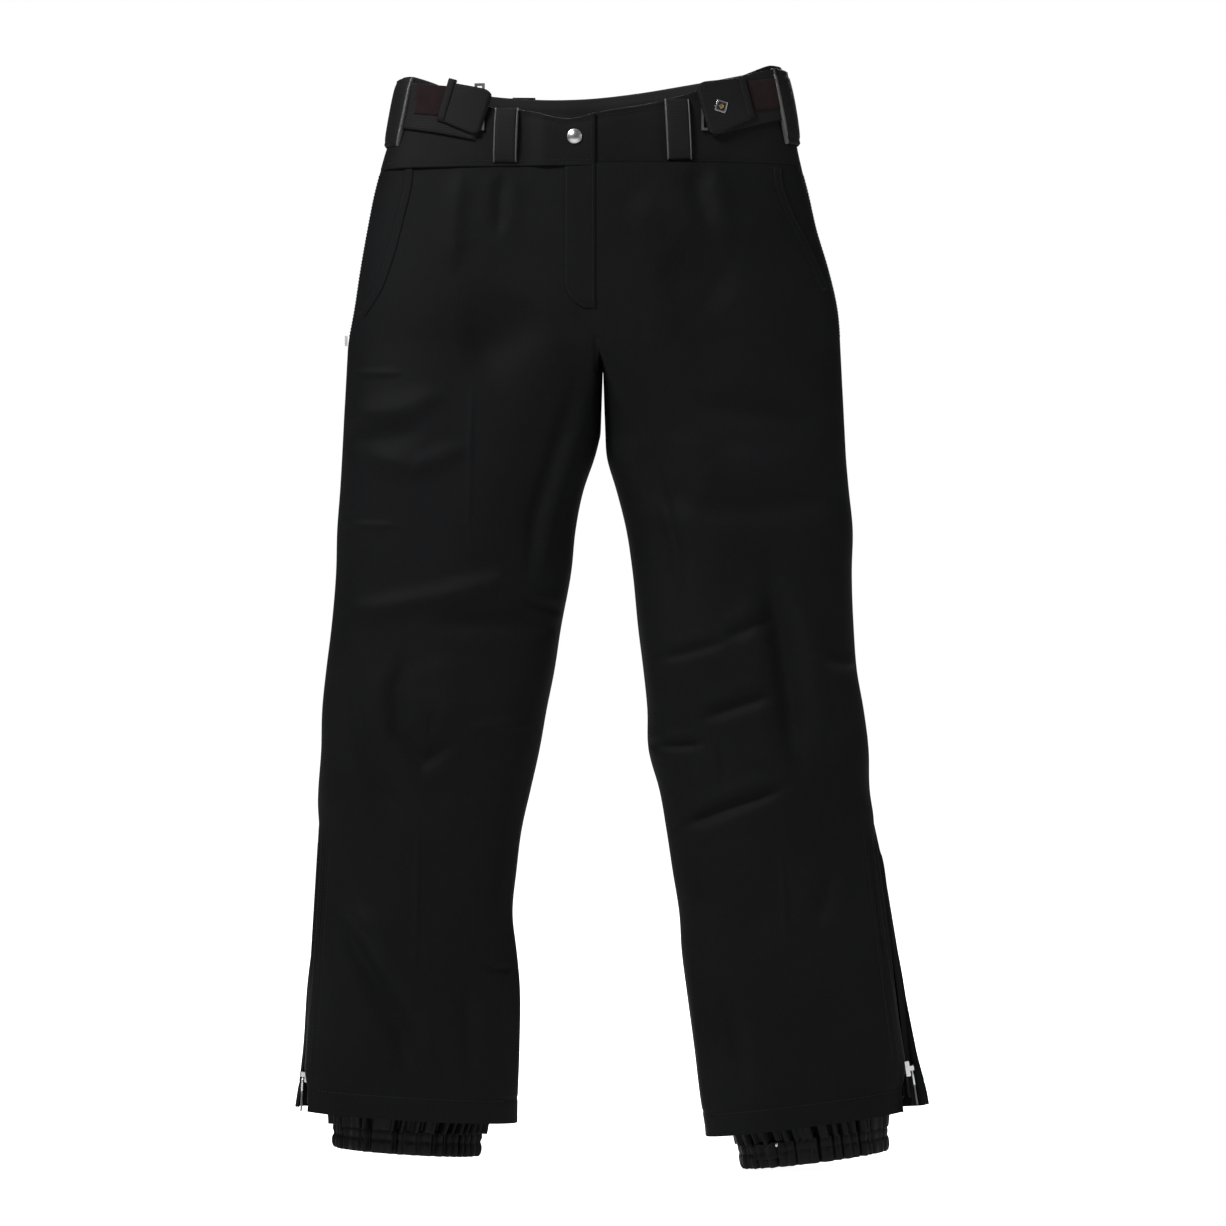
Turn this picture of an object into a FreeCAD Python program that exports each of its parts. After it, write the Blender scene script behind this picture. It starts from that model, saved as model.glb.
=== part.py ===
"""Ski pants, standing as worn: a parametric assembly of cloth panels, fasteners, zips and gaiters.

Millimetres. +Z is up, the front of the pants faces -Y, and +X is the wearer's left. The origin is the middle
of the waist, level with the top of the seam allowance at the front of the waistband. Every panel is a shell
cut from a loft through upright or leaning ellipses.
"""
import FreeCAD, Part
import os
import re

LEGS = {"right": -1, "left": 1}

SIZES = {
    # cloth and general clearances
    "cloth": (3.0, "thickness of the shell cloth with its lining"),
    "ply_gap": (0.3, "air between two plies that can move apart"),
    "joint_gap": (0.6, "air between the two sides of a bending line"),
    # waistband
    "waist_half_width": (197.0, "half width at the top of the waistband"),
    "waist_half_depth": (45.0, "half depth at the top of the waistband"),
    "side_top_z": (27.0, "top edge of the waistband at the side"),
    "front_top_z": (-15.0, "top edge of the waistband at the front middle"),
    "back_top_z": (12.0, "top edge of the waistband at the back middle"),
    "seam_half_width": (211.0, "half width at the waistband seam"),
    "seam_half_depth": (49.0, "half depth at the waistband seam"),
    "seam_z": (-72.0, "height of the waistband seam"),
    # hips and crotch
    "hip_half_width": (248.0, "half width at the crotch level"),
    "hip_half_depth": (62.0, "half depth at the crotch level"),
    "hip_z": (-260.0, "level where the legs begin"),
    "crotch_x": (3.0, "middle of the slit between the legs"),
    "gusset_width": (30.0, "width of the crotch gusset"),
    "gusset_rise": (9.0, "height of the crotch gusset"),
    # legs
    "thigh_half_width": (121.5, "half width at the top of a leg"),
    "thigh_half_depth": (60.0, "half depth at the top of a leg"),
    "thigh_spread": (124.0, "middle of a leg top from the crotch middle"),
    "knee_half_width": (111.0, "half width at the knee"),
    "knee_half_depth": (52.0, "half depth at the knee"),
    "knee_z": (-590.0, "level of the knee"),
    "calf_half_width": (104.0, "half width at the top of the leg zip"),
    "calf_half_depth": (49.0, "half depth at the top of the leg zip"),
    "calf_z": (-720.0, "level of the top of the leg zip"),
    "hem_half_width": (108.0, "half width at the hem"),
    "hem_half_depth": (46.0, "half depth at the hem"),
    "hem_z": (-1019.0, "level of the middle of the hem"),
    "knee_spread_right": (156.0, "middle of the right knee from the origin"),
    "knee_spread_left": (160.0, "middle of the left knee from the origin"),
    "calf_spread_right": (172.0, "middle of the right calf from the origin"),
    "calf_spread_left": (176.0, "middle of the left calf from the origin"),
    "hem_spread_right": (184.0, "middle of the right hem from the origin"),
    "hem_spread_left": (217.0, "middle of the left hem from the origin"),
    "hem_lean_right": (4.0, "tilt of the right hem, in degrees"),
    "hem_lean_left": (7.2, "tilt of the left hem, in degrees"),
    # fly
    "fly_edge_x": (3.0, "free edge of the fly placket"),
    "fly_width": (31.0, "width of the fly placket"),
    "fly_foot_z": (-215.0, "bottom of the fly placket"),
    "fly_zip_depth": (16.0, "outer face of the shell to the face of the zip tapes"),
    "fly_zip_width": (30.0, "width of the fly zip over both tapes"),
    "shield_depth": (21.0, "outer face of the shell to the face of the fly shield"),
    "shield_width": (44.0, "width of the fly shield"),
    "chain_shift": (2.0, "fly zip chain from the middle of the placket"),
    "zip_rise": (8.0, "foot of the fly zip above the foot of the placket"),
    "lining_cloth": (1.5, "thickness of the lighter inner cloth"),
    # snap and waist tab
    "tab_length": (49.0, "waist tab from its hinge line to the fly edge"),
    "snap_inset": (21.0, "snap middle from the fly edge"),
    "snap_z": (-42.0, "height of the snap middle"),
    "snap_radius": (7.5, "radius of the snap cap"),
    "cap_height": (3.0, "height of the snap cap"),
    "socket_radius": (5.0, "outer radius of the snap socket"),
    "post_radius": (2.0, "radius of the snap post"),
    "post_gap": (0.25, "air around the snap post in its socket"),
    "flange_radius": (6.0, "radius of the flange behind the snap post"),
    # belt loops
    "loop_height": (55.0, "height of a belt loop"),
    "loop_depth": (10.0, "how far a belt loop stands out"),
    "loop_cloth": (2.0, "thickness of the loop webbing"),
    "loop_foot": (6.0, "sewn foot of a belt loop"),
    "front_loop_width": (22.0, "width of a front belt loop"),
    "side_loop_width": (34.0, "width of a side belt loop"),
    "front_loop_x": (85.0, "front belt loop from the middle"),
    "back_loop_x": (70.0, "back belt loop from the middle"),
    "piping": (1.6, "width of the satin piping"),
    # side adjusters
    "strap_cloth": (2.0, "thickness of the adjuster strap"),
    "strap_height": (42.0, "height of the adjuster strap"),
    "strap_z": (-12.0, "height of the middle of the strap"),
    "strap_start_x": (192.0, "outer end of the adjuster strap"),
    "ring_x": (112.0, "ring of the adjuster from the middle"),
    "patch_start_x": (176.0, "outer end of the loop fastener patch"),
    "patch_end_x": (128.0, "inner end of the loop fastener patch"),
    "patch_height": (26.0, "height of the loop fastener patch"),
    "patch_cloth": (1.0, "thickness of the loop fastener patch"),
    "free_end_x": (147.0, "tip of the folded free end"),
    "ring_wire": (2.4, "wire of the adjuster ring"),
    "ring_width": (10.0, "width of the adjuster ring"),
    "badge_side": (12.5, "side of the square badge"),
    "badge_height": (1.2, "thickness of the badge"),
    "badge_turn": (17.0, "turn of the badge on its strap, in degrees"),
    # pockets
    "pocket_inset": (38.0, "top of the pocket mouth from the side seam"),
    "pocket_slant": (16.0, "slant of the pocket mouth, in degrees"),
    "pocket_mouth": (9.0, "width of the pocket mouth"),
    "pocket_length": (140.0, "length of the pocket mouth"),
    "pocket_drop": (12.0, "top of the pocket mouth below the waistband seam"),
    "pocket_width": (120.0, "width of the pocket bag"),
    "bag_depth": (20.0, "depth of the pocket bag"),
    "bag_reach": (5.0, "foot of the pocket bag below its mouth"),
    "bag_back_y": (10.0, "back of the pocket bag from the side seams"),
    "bag_cloth": (1.2, "thickness of the pocket bag cloth"),
    "welt_width": (10.0, "width of the pocket welt"),
    # labels
    "flag_height": (10.0, "height of the flag label"),
    "flag_reach": (3.0, "how far the flag label stands out"),
    "flag_z": (-241.0, "height of the flag label"),
    # leg zips, their gussets and pulls
    "slot_half_width": (7.0, "half width of the slot for the leg zip"),
    "zip_top_drop": (15.0, "top of the leg zip below the calf level"),
    "zip_foot_gap": (10.0, "foot of the leg zip from the hem"),
    "slider_foot_gap": (37.0, "lowered slider's middle from the hem"),
    "tape_depth": (7.0, "outer face of the leg to the face of the zip tape"),
    "tape_half_width": (9.0, "half width of the leg zip over both tapes"),
    "tape_cloth": (1.0, "thickness of a zip tape"),
    "chain_half_width": (3.0, "half width of the zip chain"),
    "chain_height": (2.6, "height of the zip chain over its tape"),
    "slider_length": (15.0, "length of a zip slider"),
    "slider_half_width": (5.4, "half width of a zip slider"),
    "slider_wall": (2.2, "wall of a zip slider over the chain"),
    "slider_gap": (0.4, "air between a zip slider and its chain"),
    "ear_reach": (4.2, "how far the slider's ears stand out"),
    "ear_wall": (1.4, "thickness of each ear"),
    "ear_half_length": (2.2, "half length of the ears along the zip"),
    "pin_radius": (0.7, "radius of the pin between the ears"),
    "pin_gap": (0.1, "air between the pin and the eye of the pull"),
    "eye_radius": (1.7, "outer radius of the eye of the pull"),
    "pull_neck": (4.0, "pin to the wide part of the pull"),
    "pull_length": (20.0, "length of a zip pull"),
    "pull_half_width": (2.0, "half width of a zip pull between the ears"),
    "pull_height": (1.6, "thickness of a zip pull"),
    "ribbon_length": (18.0, "length of the ribbon on a leg zip pull"),
    "ribbon_half_width": (6.0, "half width of the ribbon"),
    "gusset_depth": (10.0, "face of the zip tape to the face of its gusset"),
    "gusset_half_width": (18.0, "half width of the gusset behind a leg zip"),
    # gaiters
    "gaiter_rise": (139.0, "sewn top of a gaiter above the hem"),
    "gaiter_half_width": (72.0, "half width of the gaiter cuff"),
    "gaiter_half_depth": (32.0, "half depth of the gaiter cuff"),
    "cuff_height": (26.0, "height of the gaiter cuff"),
    "cuff_foot_right": (33.0, "foot of the right gaiter cuff below the hem"),
    "cuff_foot_left": (40.0, "foot of the left gaiter cuff below the hem"),
    "gaiter_clear": (3.0, "air between a gaiter top and its leg"),
}

doc = FreeCAD.newDocument("SkiPants")
sheet = doc.addObject("Spreadsheet::Sheet", "Sizes")
for row, (alias, (number, note)) in enumerate(SIZES.items(), start=1):
    sheet.set(f"A{row}", str(number))
    sheet.setAlias(f"A{row}", alias)
    sheet.set(f"B{row}", note)
doc.recompute()

parts = {}


def bound(formula):
    """The formula with each size read from the sheet."""
    return re.sub(r"[a-z_]+", lambda word: f"Sizes.{word[0]}" if word[0] in SIZES else word[0], str(formula))


def bind(item, **formulas):
    """Tie properties of an object to formulas over the sheet's sizes."""
    for name, formula in formulas.items():
        item.setExpression(name, bound(formula))
    return item


def place(item, base, turns=()):
    """Place an object at a base point, turned about X, Y or Z in the order given."""
    axes = {"x": "vector(1; 0; 0)", "y": "vector(0; 1; 0)", "z": "vector(0; 0; 1)"}
    chain = [f"placement(vector({base[0]}; {base[1]}; {base[2]}); rotation(vector(0; 0; 1); 0))"]
    for axis, angle in turns:
        chain.append(f"placement(vector(0; 0; 0); rotation({axes[axis]}; {angle}))")
    item.setExpression("Placement", bound(" * ".join(chain)))
    return item


def keep(item, label):
    """Make an object a sub-part of the pants."""
    item.Label = label
    parts[label] = item
    return item


def mixed(top, foot, level):
    """Formula of a size that runs straight from (z, size) at the top to (z, size) at the foot."""
    return f"(({foot[1]}) + (({top[1]}) - ({foot[1]})) * (({level}) - ({foot[0]})) / (({top[0]}) - ({foot[0]})))"


# ---------------------------------------------------------------- solids by section, box and cylinder
def ellipse(centre, half_width, half_depth, lean="0"):
    """A flat ellipse across a body or leg, leaning about Y."""
    ring = bind(doc.addObject("Part::Ellipse", "Station"), MajorRadius=half_width, MinorRadius=half_depth)
    return place(ring, centre, [("y", lean)])


def loft(stations, grow):
    """A closed solid through stations, each grown all round by the same formula."""
    rings = []
    for centre, half_width, half_depth, lean in stations:
        rings.append(ellipse(centre, f"({half_width}) + ({grow})", f"({half_depth}) + ({grow})", lean))
    solid = doc.addObject("Part::Loft", "Loft")
    solid.Sections = rings
    solid.Solid = True
    solid.Ruled = True
    return solid


def cut(base, tool):
    result = doc.addObject("Part::Cut", "Cut")
    result.Base = base
    result.Tool = tool
    return result


def common(base, tool):
    result = doc.addObject("Part::Common", "Common")
    result.Base = base
    result.Tool = tool
    return result


def group(*pieces):
    """Separate solids that share one sub-part."""
    result = doc.addObject("Part::Compound", "Group")
    result.Links = list(pieces)
    return result


def shell(stations, outer, inner):
    """The skin between two growths of the same loft."""
    return cut(loft(stations, outer), loft(stations, inner))


def block(low, high, turns=(), pivot=("0", "0", "0")):
    """A box between two corners, turned about a pivot."""
    box = bind(doc.addObject("Part::Box", "Block"), Length=f"({high[0]}) - ({low[0]})",
               Width=f"({high[1]}) - ({low[1]})", Height=f"({high[2]}) - ({low[2]})")
    if not turns:
        return place(box, low)
    moved = group(place(box, [f"({corner}) - ({middle})" for corner, middle in zip(low, pivot)]))
    return place(moved, pivot, turns)


def rod(centre, radius, length, turns=()):
    """A cylinder centred on a point, along Z before it is turned."""
    cylinder = bind(doc.addObject("Part::Cylinder", "Rod"), Radius=radius, Height=length)
    place(cylinder, ("0", "0", f"-({length}) / 2"))
    return place(group(cylinder), centre, turns)


def body_block(body, kind, low, high):
    """A box feature of a body, between two corners."""
    box = body.newObject(f"PartDesign::{kind}Box", f"{kind}Block")
    bind(box, Length=f"({high[0]}) - ({low[0]})", Width=f"({high[1]}) - ({low[1]})",
         Height=f"({high[2]}) - ({low[2]})")
    return place(box, low)


def body_rod(body, kind, centre, radius, length, turns=()):
    """A cylinder feature of a body, starting at its centre point and running along Z before it is turned."""
    cylinder = body.newObject(f"PartDesign::{kind}Cylinder", f"{kind}Rod")
    bind(cylinder, Radius=radius, Height=length)
    return place(cylinder, centre, turns)


# ---------------------------------------------------------------- waist and hips
FAR = "400"            # past the outside of any panel
SPAN = "2000"          # longer than the whole garment
DRILL = "30"           # a drill through one wall of the waistband only
PAST = "1"             # how far a cutting tool starts outside what it cuts
EMBED = "0.1"          # how deep a welded lug starts inside its base
PIN_X = "(chain_height + slider_gap + slider_wall + ear_reach / 2)"
TORSO = [
    (("0", "0", "side_top_z"), "waist_half_width", "waist_half_depth", "0"),
    (("0", "0", "seam_z"), "seam_half_width", "seam_half_depth", "0"),
    (("0", "0", "hip_z"), "hip_half_width", "hip_half_depth", "0"),
]
BAND_WIDTH = [("side_top_z", "waist_half_width"), ("seam_z", "seam_half_width")]
BAND_DEPTH = [("side_top_z", "waist_half_depth"), ("seam_z", "seam_half_depth")]
HIP_WIDTH = [("seam_z", "seam_half_width"), ("hip_z", "hip_half_width")]
FLY_LEAN = "atan((hip_half_depth - seam_half_depth) / (seam_z - hip_z))"
FRONT_LEAN = "atan((seam_half_depth - waist_half_depth) / (side_top_z - seam_z))"
SIDE_LEAN = "atan((seam_half_width - waist_half_width) / (side_top_z - seam_z))"
TAB_X = "(fly_edge_x - tab_length)"


def band_face(x, level):
    """Formula of the front face of the waistband at a distance from the middle and a level."""
    half_width = mixed(*BAND_WIDTH, level)
    return f"-{mixed(*BAND_DEPTH, level)} * sqrt(1 - (({x}) / {half_width})^2)"


def band_turn(x, level):
    """Formula of the waistband's turn about Z at a distance from the middle, in degrees."""
    half_width = mixed(*BAND_WIDTH, level)
    share = f"(({x}) / {half_width})"
    return f"atan({mixed(*BAND_DEPTH, level)} / {half_width} * {share} / sqrt(1 - {share}^2))"


def top_curve(low_z):
    """A long cylinder whose underside dips from the side tops of the waistband to its middle."""
    dip = f"(side_top_z - ({low_z}))"
    radius = f"((waist_half_width^2 + {dip}^2) / (2 * {dip}))"
    return rod(("0", "0", f"({low_z}) + {radius}"), radius, SPAN, [("x", "90")])


def band_piece(skin, low_x, high_x, front):
    """A stretch of the waistband, front or back, with its curved top edge."""
    low_y, high_y = (f"-{FAR}", "0") if front else ("0", FAR)
    stretch = common(skin, block((low_x, low_y, "seam_z"), (high_x, high_y, "side_top_z")))
    return cut(stretch, top_curve("front_top_z" if front else "back_top_z"))


def build_waistband():
    skin = shell(TORSO, "0", "-cloth")
    keep(band_piece(skin, f"-{FAR}", TAB_X, True), "waistband_front_right")
    underlap = band_piece(skin, f"{TAB_X} + joint_gap", FAR, True)
    post_hole = rod(("fly_edge_x - snap_inset", "-waist_half_depth", "snap_z"), "post_radius + post_gap", DRILL,
                    [("x", "90")])
    keep(cut(underlap, post_hole), "waistband_front_left")
    keep(band_piece(skin, f"-{FAR}", FAR, False), "waistband_back")
    overlap = shell(TORSO, "ply_gap + cloth", "ply_gap")
    tab = band_piece(overlap, f"{TAB_X} + joint_gap", "fly_edge_x", True)
    socket_hole = rod(("fly_edge_x - snap_inset", "-waist_half_depth", "snap_z"), "socket_radius + post_gap",
                      DRILL, [("x", "90")])
    keep(cut(tab, socket_hole), "waist_tab")


def build_snap():
    """Cap outside the tab, socket in the tab, and a flanged post through the underlap."""
    snap_x = "fly_edge_x - snap_inset"
    face = band_face(snap_x, "snap_z")
    cap = doc.addObject("PartDesign::Body", "SnapCap")
    body_rod(cap, "Additive", ("0", "0", "0"), "snap_radius", "cap_height")
    keep(place(cap, (snap_x, f"{face} - ply_gap - cloth - ply_gap", "snap_z"), [("x", "90")]), "snap_cap")
    socket = doc.addObject("PartDesign::Body", "SnapSocket")
    body_rod(socket, "Additive", ("0", "0", "0"), "socket_radius", "cloth - ply_gap")
    body_rod(socket, "Subtractive", ("0", "0", f"-{PAST}"), "post_radius + post_gap", f"cloth + 2 * {PAST}")
    keep(place(socket, (snap_x, f"{face} - 2 * ply_gap", "snap_z"), [("x", "90")]), "snap_socket")
    stud = doc.addObject("PartDesign::Body", "SnapStud")
    body_rod(stud, "Additive", ("0", "0", "-lining_cloth"), "flange_radius", "lining_cloth")
    body_rod(stud, "Additive", ("0", "0", "-lining_cloth"), "post_radius", "lining_cloth + 2 * cloth - ply_gap")
    keep(place(stud, (snap_x, f"{face} + cloth + 2 * ply_gap", "snap_z"), [("x", "90")]), "snap_stud")


def belt_loop(width):
    """A webbing loop with sewn feet, its back on the YZ plane and its passage along Y."""
    loop = doc.addObject("PartDesign::Body", "BeltLoop")
    half = f"({width}) / 2"
    body_block(loop, "Additive", ("0", f"-{half}", "-loop_height / 2"), ("loop_depth", half, "loop_height / 2"))
    body_block(loop, "Subtractive", (f"-{PAST}", f"-{half} - {PAST}", "loop_foot - loop_height / 2"),
               ("loop_depth - loop_cloth", f"{half} + {PAST}", "loop_height / 2 - loop_foot"))
    return loop


def loop_piping(width):
    """Two satin edges on the outer face of a belt loop."""
    half = f"({width}) / 2"
    strips = []
    for low, high in ((f"-{half}", f"piping - {half}"), (f"{half} - piping", half)):
        strip = doc.addObject("PartDesign::Body", "Piping")
        body_block(strip, "Additive", ("loop_depth", low, "-loop_height / 2"),
                   ("loop_depth + piping / 2", high, "loop_height / 2"))
        strips.append(strip)
    return strips


def build_belt_loops():
    level = "((front_top_z + seam_z) / 2)"
    side_level = "((side_top_z + seam_z) / 2)"
    satin = []
    back_loops = []
    for side, sign in LEGS.items():
        face = band_face("front_loop_x", level)
        base = (f"{sign} * front_loop_x", f"{face} - joint_gap", level)
        turns = [("z", f"{sign} * {band_turn('front_loop_x', level)} - 90 deg"), ("y", f"-{FRONT_LEAN}")]
        keep(place(belt_loop("front_loop_width"), base, turns), f"belt_loop_front_{side}")
        satin += [place(strip, base, turns) for strip in loop_piping("front_loop_width")]
        reach = mixed(*BAND_WIDTH, side_level)
        base = (f"{sign} * ({reach} + joint_gap)", "0", side_level)
        turns = [("z", "0" if sign > 0 else "180"), ("y", f"-{SIDE_LEAN}")]
        keep(place(belt_loop("side_loop_width"), base, turns), f"belt_loop_side_{side}")
        satin += [place(strip, base, turns) for strip in loop_piping("side_loop_width")]
        face = band_face("back_loop_x", level)
        base = (f"{sign} * back_loop_x", f"joint_gap - ({face})", level)
        turns = [("z", f"90 deg - {sign} * {band_turn('back_loop_x', level)}"), ("y", f"-{FRONT_LEAN}")]
        back_loops.append(place(belt_loop("front_loop_width"), base, turns))
    keep(group(*back_loops), "belt_loops_back")
    keep(group(*satin), "loop_piping")


def build_adjusters():
    """At each side a strap with a fastener patch runs through a ring and folds back over itself."""
    top = "strap_z + strap_height / 2"
    foot = "strap_z - strap_height / 2"
    base_out = "ply_gap + strap_cloth"
    patch_out = f"{base_out} + patch_cloth"
    end_in = f"{patch_out} + ply_gap"
    end_out = f"{end_in} + strap_cloth"
    strap_skin = shell(TORSO, base_out, "ply_gap")
    patch_skin = shell(TORSO, patch_out, base_out)
    end_skin = shell(TORSO, end_out, end_in)
    for side, sign in LEGS.items():
        def stretch(skin, outer_x, inner_x, low_z, high_z):
            near, far = (inner_x, outer_x) if sign > 0 else (f"-({outer_x})", f"-({inner_x})")
            return common(skin, block((near, f"-{FAR}", low_z), (far, "0", high_z)))

        keep(stretch(strap_skin, "strap_start_x", "ring_x - ring_width / 2", foot, top), f"strap_base_{side}")
        keep(stretch(patch_skin, "patch_start_x", "patch_end_x", "strap_z - patch_height / 2",
                     "strap_z + patch_height / 2"), f"strap_patch_{side}")
        keep(stretch(end_skin, "free_end_x", "ring_x + ring_width / 2 + joint_gap", foot, top),
             f"strap_end_{side}")
        ring = doc.addObject("PartDesign::Body", "Ring")
        half = "(strap_height / 2 + ring_wire)"
        body_block(ring, "Additive", ("-ring_width / 2", "-ring_wire", f"-{half}"),
                   ("ring_width / 2", "0", half))
        body_block(ring, "Subtractive", ("ring_wire - ring_width / 2", f"-ring_wire - {PAST}", "-strap_height / 2"),
                   ("ring_width / 2 - ring_wire", PAST, "strap_height / 2"))
        face = band_face("ring_x", "strap_z")
        turn = band_turn("ring_x", "strap_z")
        base = (f"{sign} * ring_x", f"{face} - ({base_out}) - joint_gap", "strap_z")
        keep(place(ring, base, [("z", f"{sign} * {turn}"), ("x", f"-{FRONT_LEAN}")]), f"strap_ring_{side}")
    badge = doc.addObject("PartDesign::Body", "Badge")
    body_block(badge, "Additive", ("-badge_side / 2", "-badge_height", "-badge_side / 2"),
               ("badge_side / 2", "0", "badge_side / 2"))
    middle = "((free_end_x + ring_x + ring_width / 2) / 2)"
    base = (middle, f"{band_face(middle, 'strap_z')} - ({end_out}) - ply_gap", "strap_z")
    keep(place(badge, base, [("z", band_turn(middle, "strap_z")), ("y", "badge_turn")]), "badge_plate")


def pocket_place(sign):
    """Base point and turn of a pocket mouth's middle line, from its top end."""
    top_z = "(seam_z - pocket_drop)"
    return (f"{sign} * ({mixed(*HIP_WIDTH, top_z)} - pocket_inset)", "0", top_z), [("y", f"-{sign} * pocket_slant")]


def pocket_block(sign, outer_reach, inner_reach, low_y, high_y, head, foot):
    """A box along a pocket mouth, reaching towards the side seam and towards the middle."""
    base, turns = pocket_place(sign)
    near, far = (f"-({inner_reach})", outer_reach) if sign > 0 else (f"-({outer_reach})", inner_reach)
    box = block((near, low_y, f"-({foot})"), (far, high_y, f"-({head})"))
    return place(group(box), base, turns)


def build_pockets():
    bag_skin = loft(TORSO, "-cloth - ply_gap")
    bag_room = loft(TORSO, "-cloth - ply_gap - bag_cloth")
    welt_skin = shell(TORSO, "lining_cloth", "0")
    mouths = {}
    for side, sign in LEGS.items():
        half = "pocket_mouth / 2"
        mouth = pocket_block(sign, half, half, f"-{FAR}", "-bag_back_y - 2 * bag_cloth", "0", "pocket_length")
        mouths[side] = mouth
        outside = pocket_block(sign, f"{half} + bag_cloth", "pocket_width", "-bag_depth - bag_back_y",
                               "-bag_back_y", "-bag_cloth", "pocket_length + bag_reach")
        inside = pocket_block(sign, half, "pocket_width - bag_cloth", "bag_cloth - bag_depth - bag_back_y",
                              "-bag_back_y - bag_cloth", "0", "pocket_length + bag_reach - bag_cloth")
        floor = "hip_z + joint_gap"
        outside = common(outside, block((f"-{FAR}", f"-{FAR}", floor), (FAR, FAR, "0")))
        inside = common(inside, block((f"-{FAR}", f"-{FAR}", f"{floor} + bag_cloth"), (FAR, FAR, "0")))
        bag = cut(common(bag_skin, outside), common(bag_room, inside))
        keep(cut(bag, mouth), f"pocket_bag_{side}")
        strip = pocket_block(sign, f"-{half}", f"{half} + welt_width", f"-{FAR}", "-bag_back_y", "0",
                             "pocket_length")
        keep(common(welt_skin, strip), f"pocket_welt_{side}")
    return mouths


def build_hips(mouths):
    """Four hip panels, the stitched fly placket let into the front ones, and the crotch gusset."""
    skin = shell(TORSO, "0", "-cloth")
    fly_x = "(fly_edge_x - fly_width)"
    level = "hip_z + ply_gap"
    right = common(skin, block((f"-{FAR}", f"-{FAR}", level), ("fly_edge_x", "0", "seam_z")))
    right = cut(right, block((fly_x, f"-{FAR}", "fly_foot_z"), (FAR, "0", f"seam_z + {PAST}")))
    left = common(skin, block(("fly_edge_x", f"-{FAR}", level), (FAR, "0", "seam_z")))
    keep(cut(right, mouths["right"]), "hip_front_right")
    keep(cut(left, mouths["left"]), "hip_front_left")
    keep(common(skin, block((fly_x, f"-{FAR}", "fly_foot_z"), ("fly_edge_x - ply_gap", "0", "seam_z"))),
         "fly_placket")
    keep(common(skin, block((f"-{FAR}", "0", level), ("0", FAR, "seam_z"))), "hip_back_right")
    keep(common(skin, block(("0", "0", level), (FAR, FAR, "seam_z"))), "hip_back_left")
    inner = loft(TORSO, "-cloth - ply_gap")
    strip = block(("crotch_x - gusset_width / 2", f"-{FAR}", level),
                  ("crotch_x + gusset_width / 2", FAR, f"{level} + gusset_rise"))
    keep(common(inner, strip), "crotch_gusset")
    reach = mixed(*HIP_WIDTH, "(flag_z - flag_height / 2)")
    flag = doc.addObject("PartDesign::Body", "Flag")
    body_block(flag, "Additive", (f"-({reach}) - flag_reach", "-lining_cloth / 2", "flag_z - flag_height / 2"),
               (f"-({reach}) - ply_gap", "lining_cloth / 2", "flag_z + flag_height / 2"))
    keep(flag, "side_label")


# ---------------------------------------------------------------- zips
def slider_body(name):
    """A zip slider over its chain. Local +X points out of the cloth, the chain runs along Z, faces at x = 0."""
    slider = doc.addObject("PartDesign::Body", name)
    low = "slider_gap"
    face = "chain_height + slider_gap"
    outer = f"{face} + slider_wall"
    half = "slider_length / 2"
    body_block(slider, "Additive", (low, "-slider_half_width", f"-{half}"), (outer, "slider_half_width", half))
    body_block(slider, "Subtractive", (f"-{PAST}", "-chain_half_width - slider_gap", f"-{half} - {PAST}"),
               (face, "chain_half_width + slider_gap", f"{half} + {PAST}"))
    ear = "(pull_half_width + 2 * slider_gap)"
    body_block(slider, "Additive", (f"{outer} - {EMBED}", f"-{ear} - ear_wall", "-ear_half_length"),
               (f"{outer} + ear_reach", f"{ear} + ear_wall", "ear_half_length"))
    body_block(slider, "Subtractive", (outer, f"-{ear} + slider_gap", f"-ear_half_length - {PAST}"),
               (f"{outer} + ear_reach + {PAST}", f"{ear} - slider_gap", f"ear_half_length + {PAST}"))
    body_rod(slider, "Additive", (PIN_X, f"-{ear}", "0"), "pin_radius", f"2 * {ear}", [("x", "-90")])
    return slider


def pull_body(name, length):
    """A zip pull hanging from the pin between the ears of a slider, in the slider's own frame."""
    pull = doc.addObject("PartDesign::Body", name)
    low, high = f"{PIN_X} - pull_height / 2", f"{PIN_X} + pull_height / 2"
    foot = f"-({length})"
    body_rod(pull, "Additive", (PIN_X, "-pull_half_width", "0"), "eye_radius", "2 * pull_half_width",
             [("x", "-90")])
    body_block(pull, "Additive", (low, "-pull_half_width", foot), (high, "pull_half_width", "0"))
    body_block(pull, "Additive", (low, "-2 * pull_half_width", foot), (high, "2 * pull_half_width", "-pull_neck"))
    body_rod(pull, "Subtractive", (PIN_X, f"-pull_half_width - {PAST}", "0"), "pin_radius + pin_gap",
             f"2 * pull_half_width + 2 * {PAST}", [("x", "-90")])
    return pull


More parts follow.
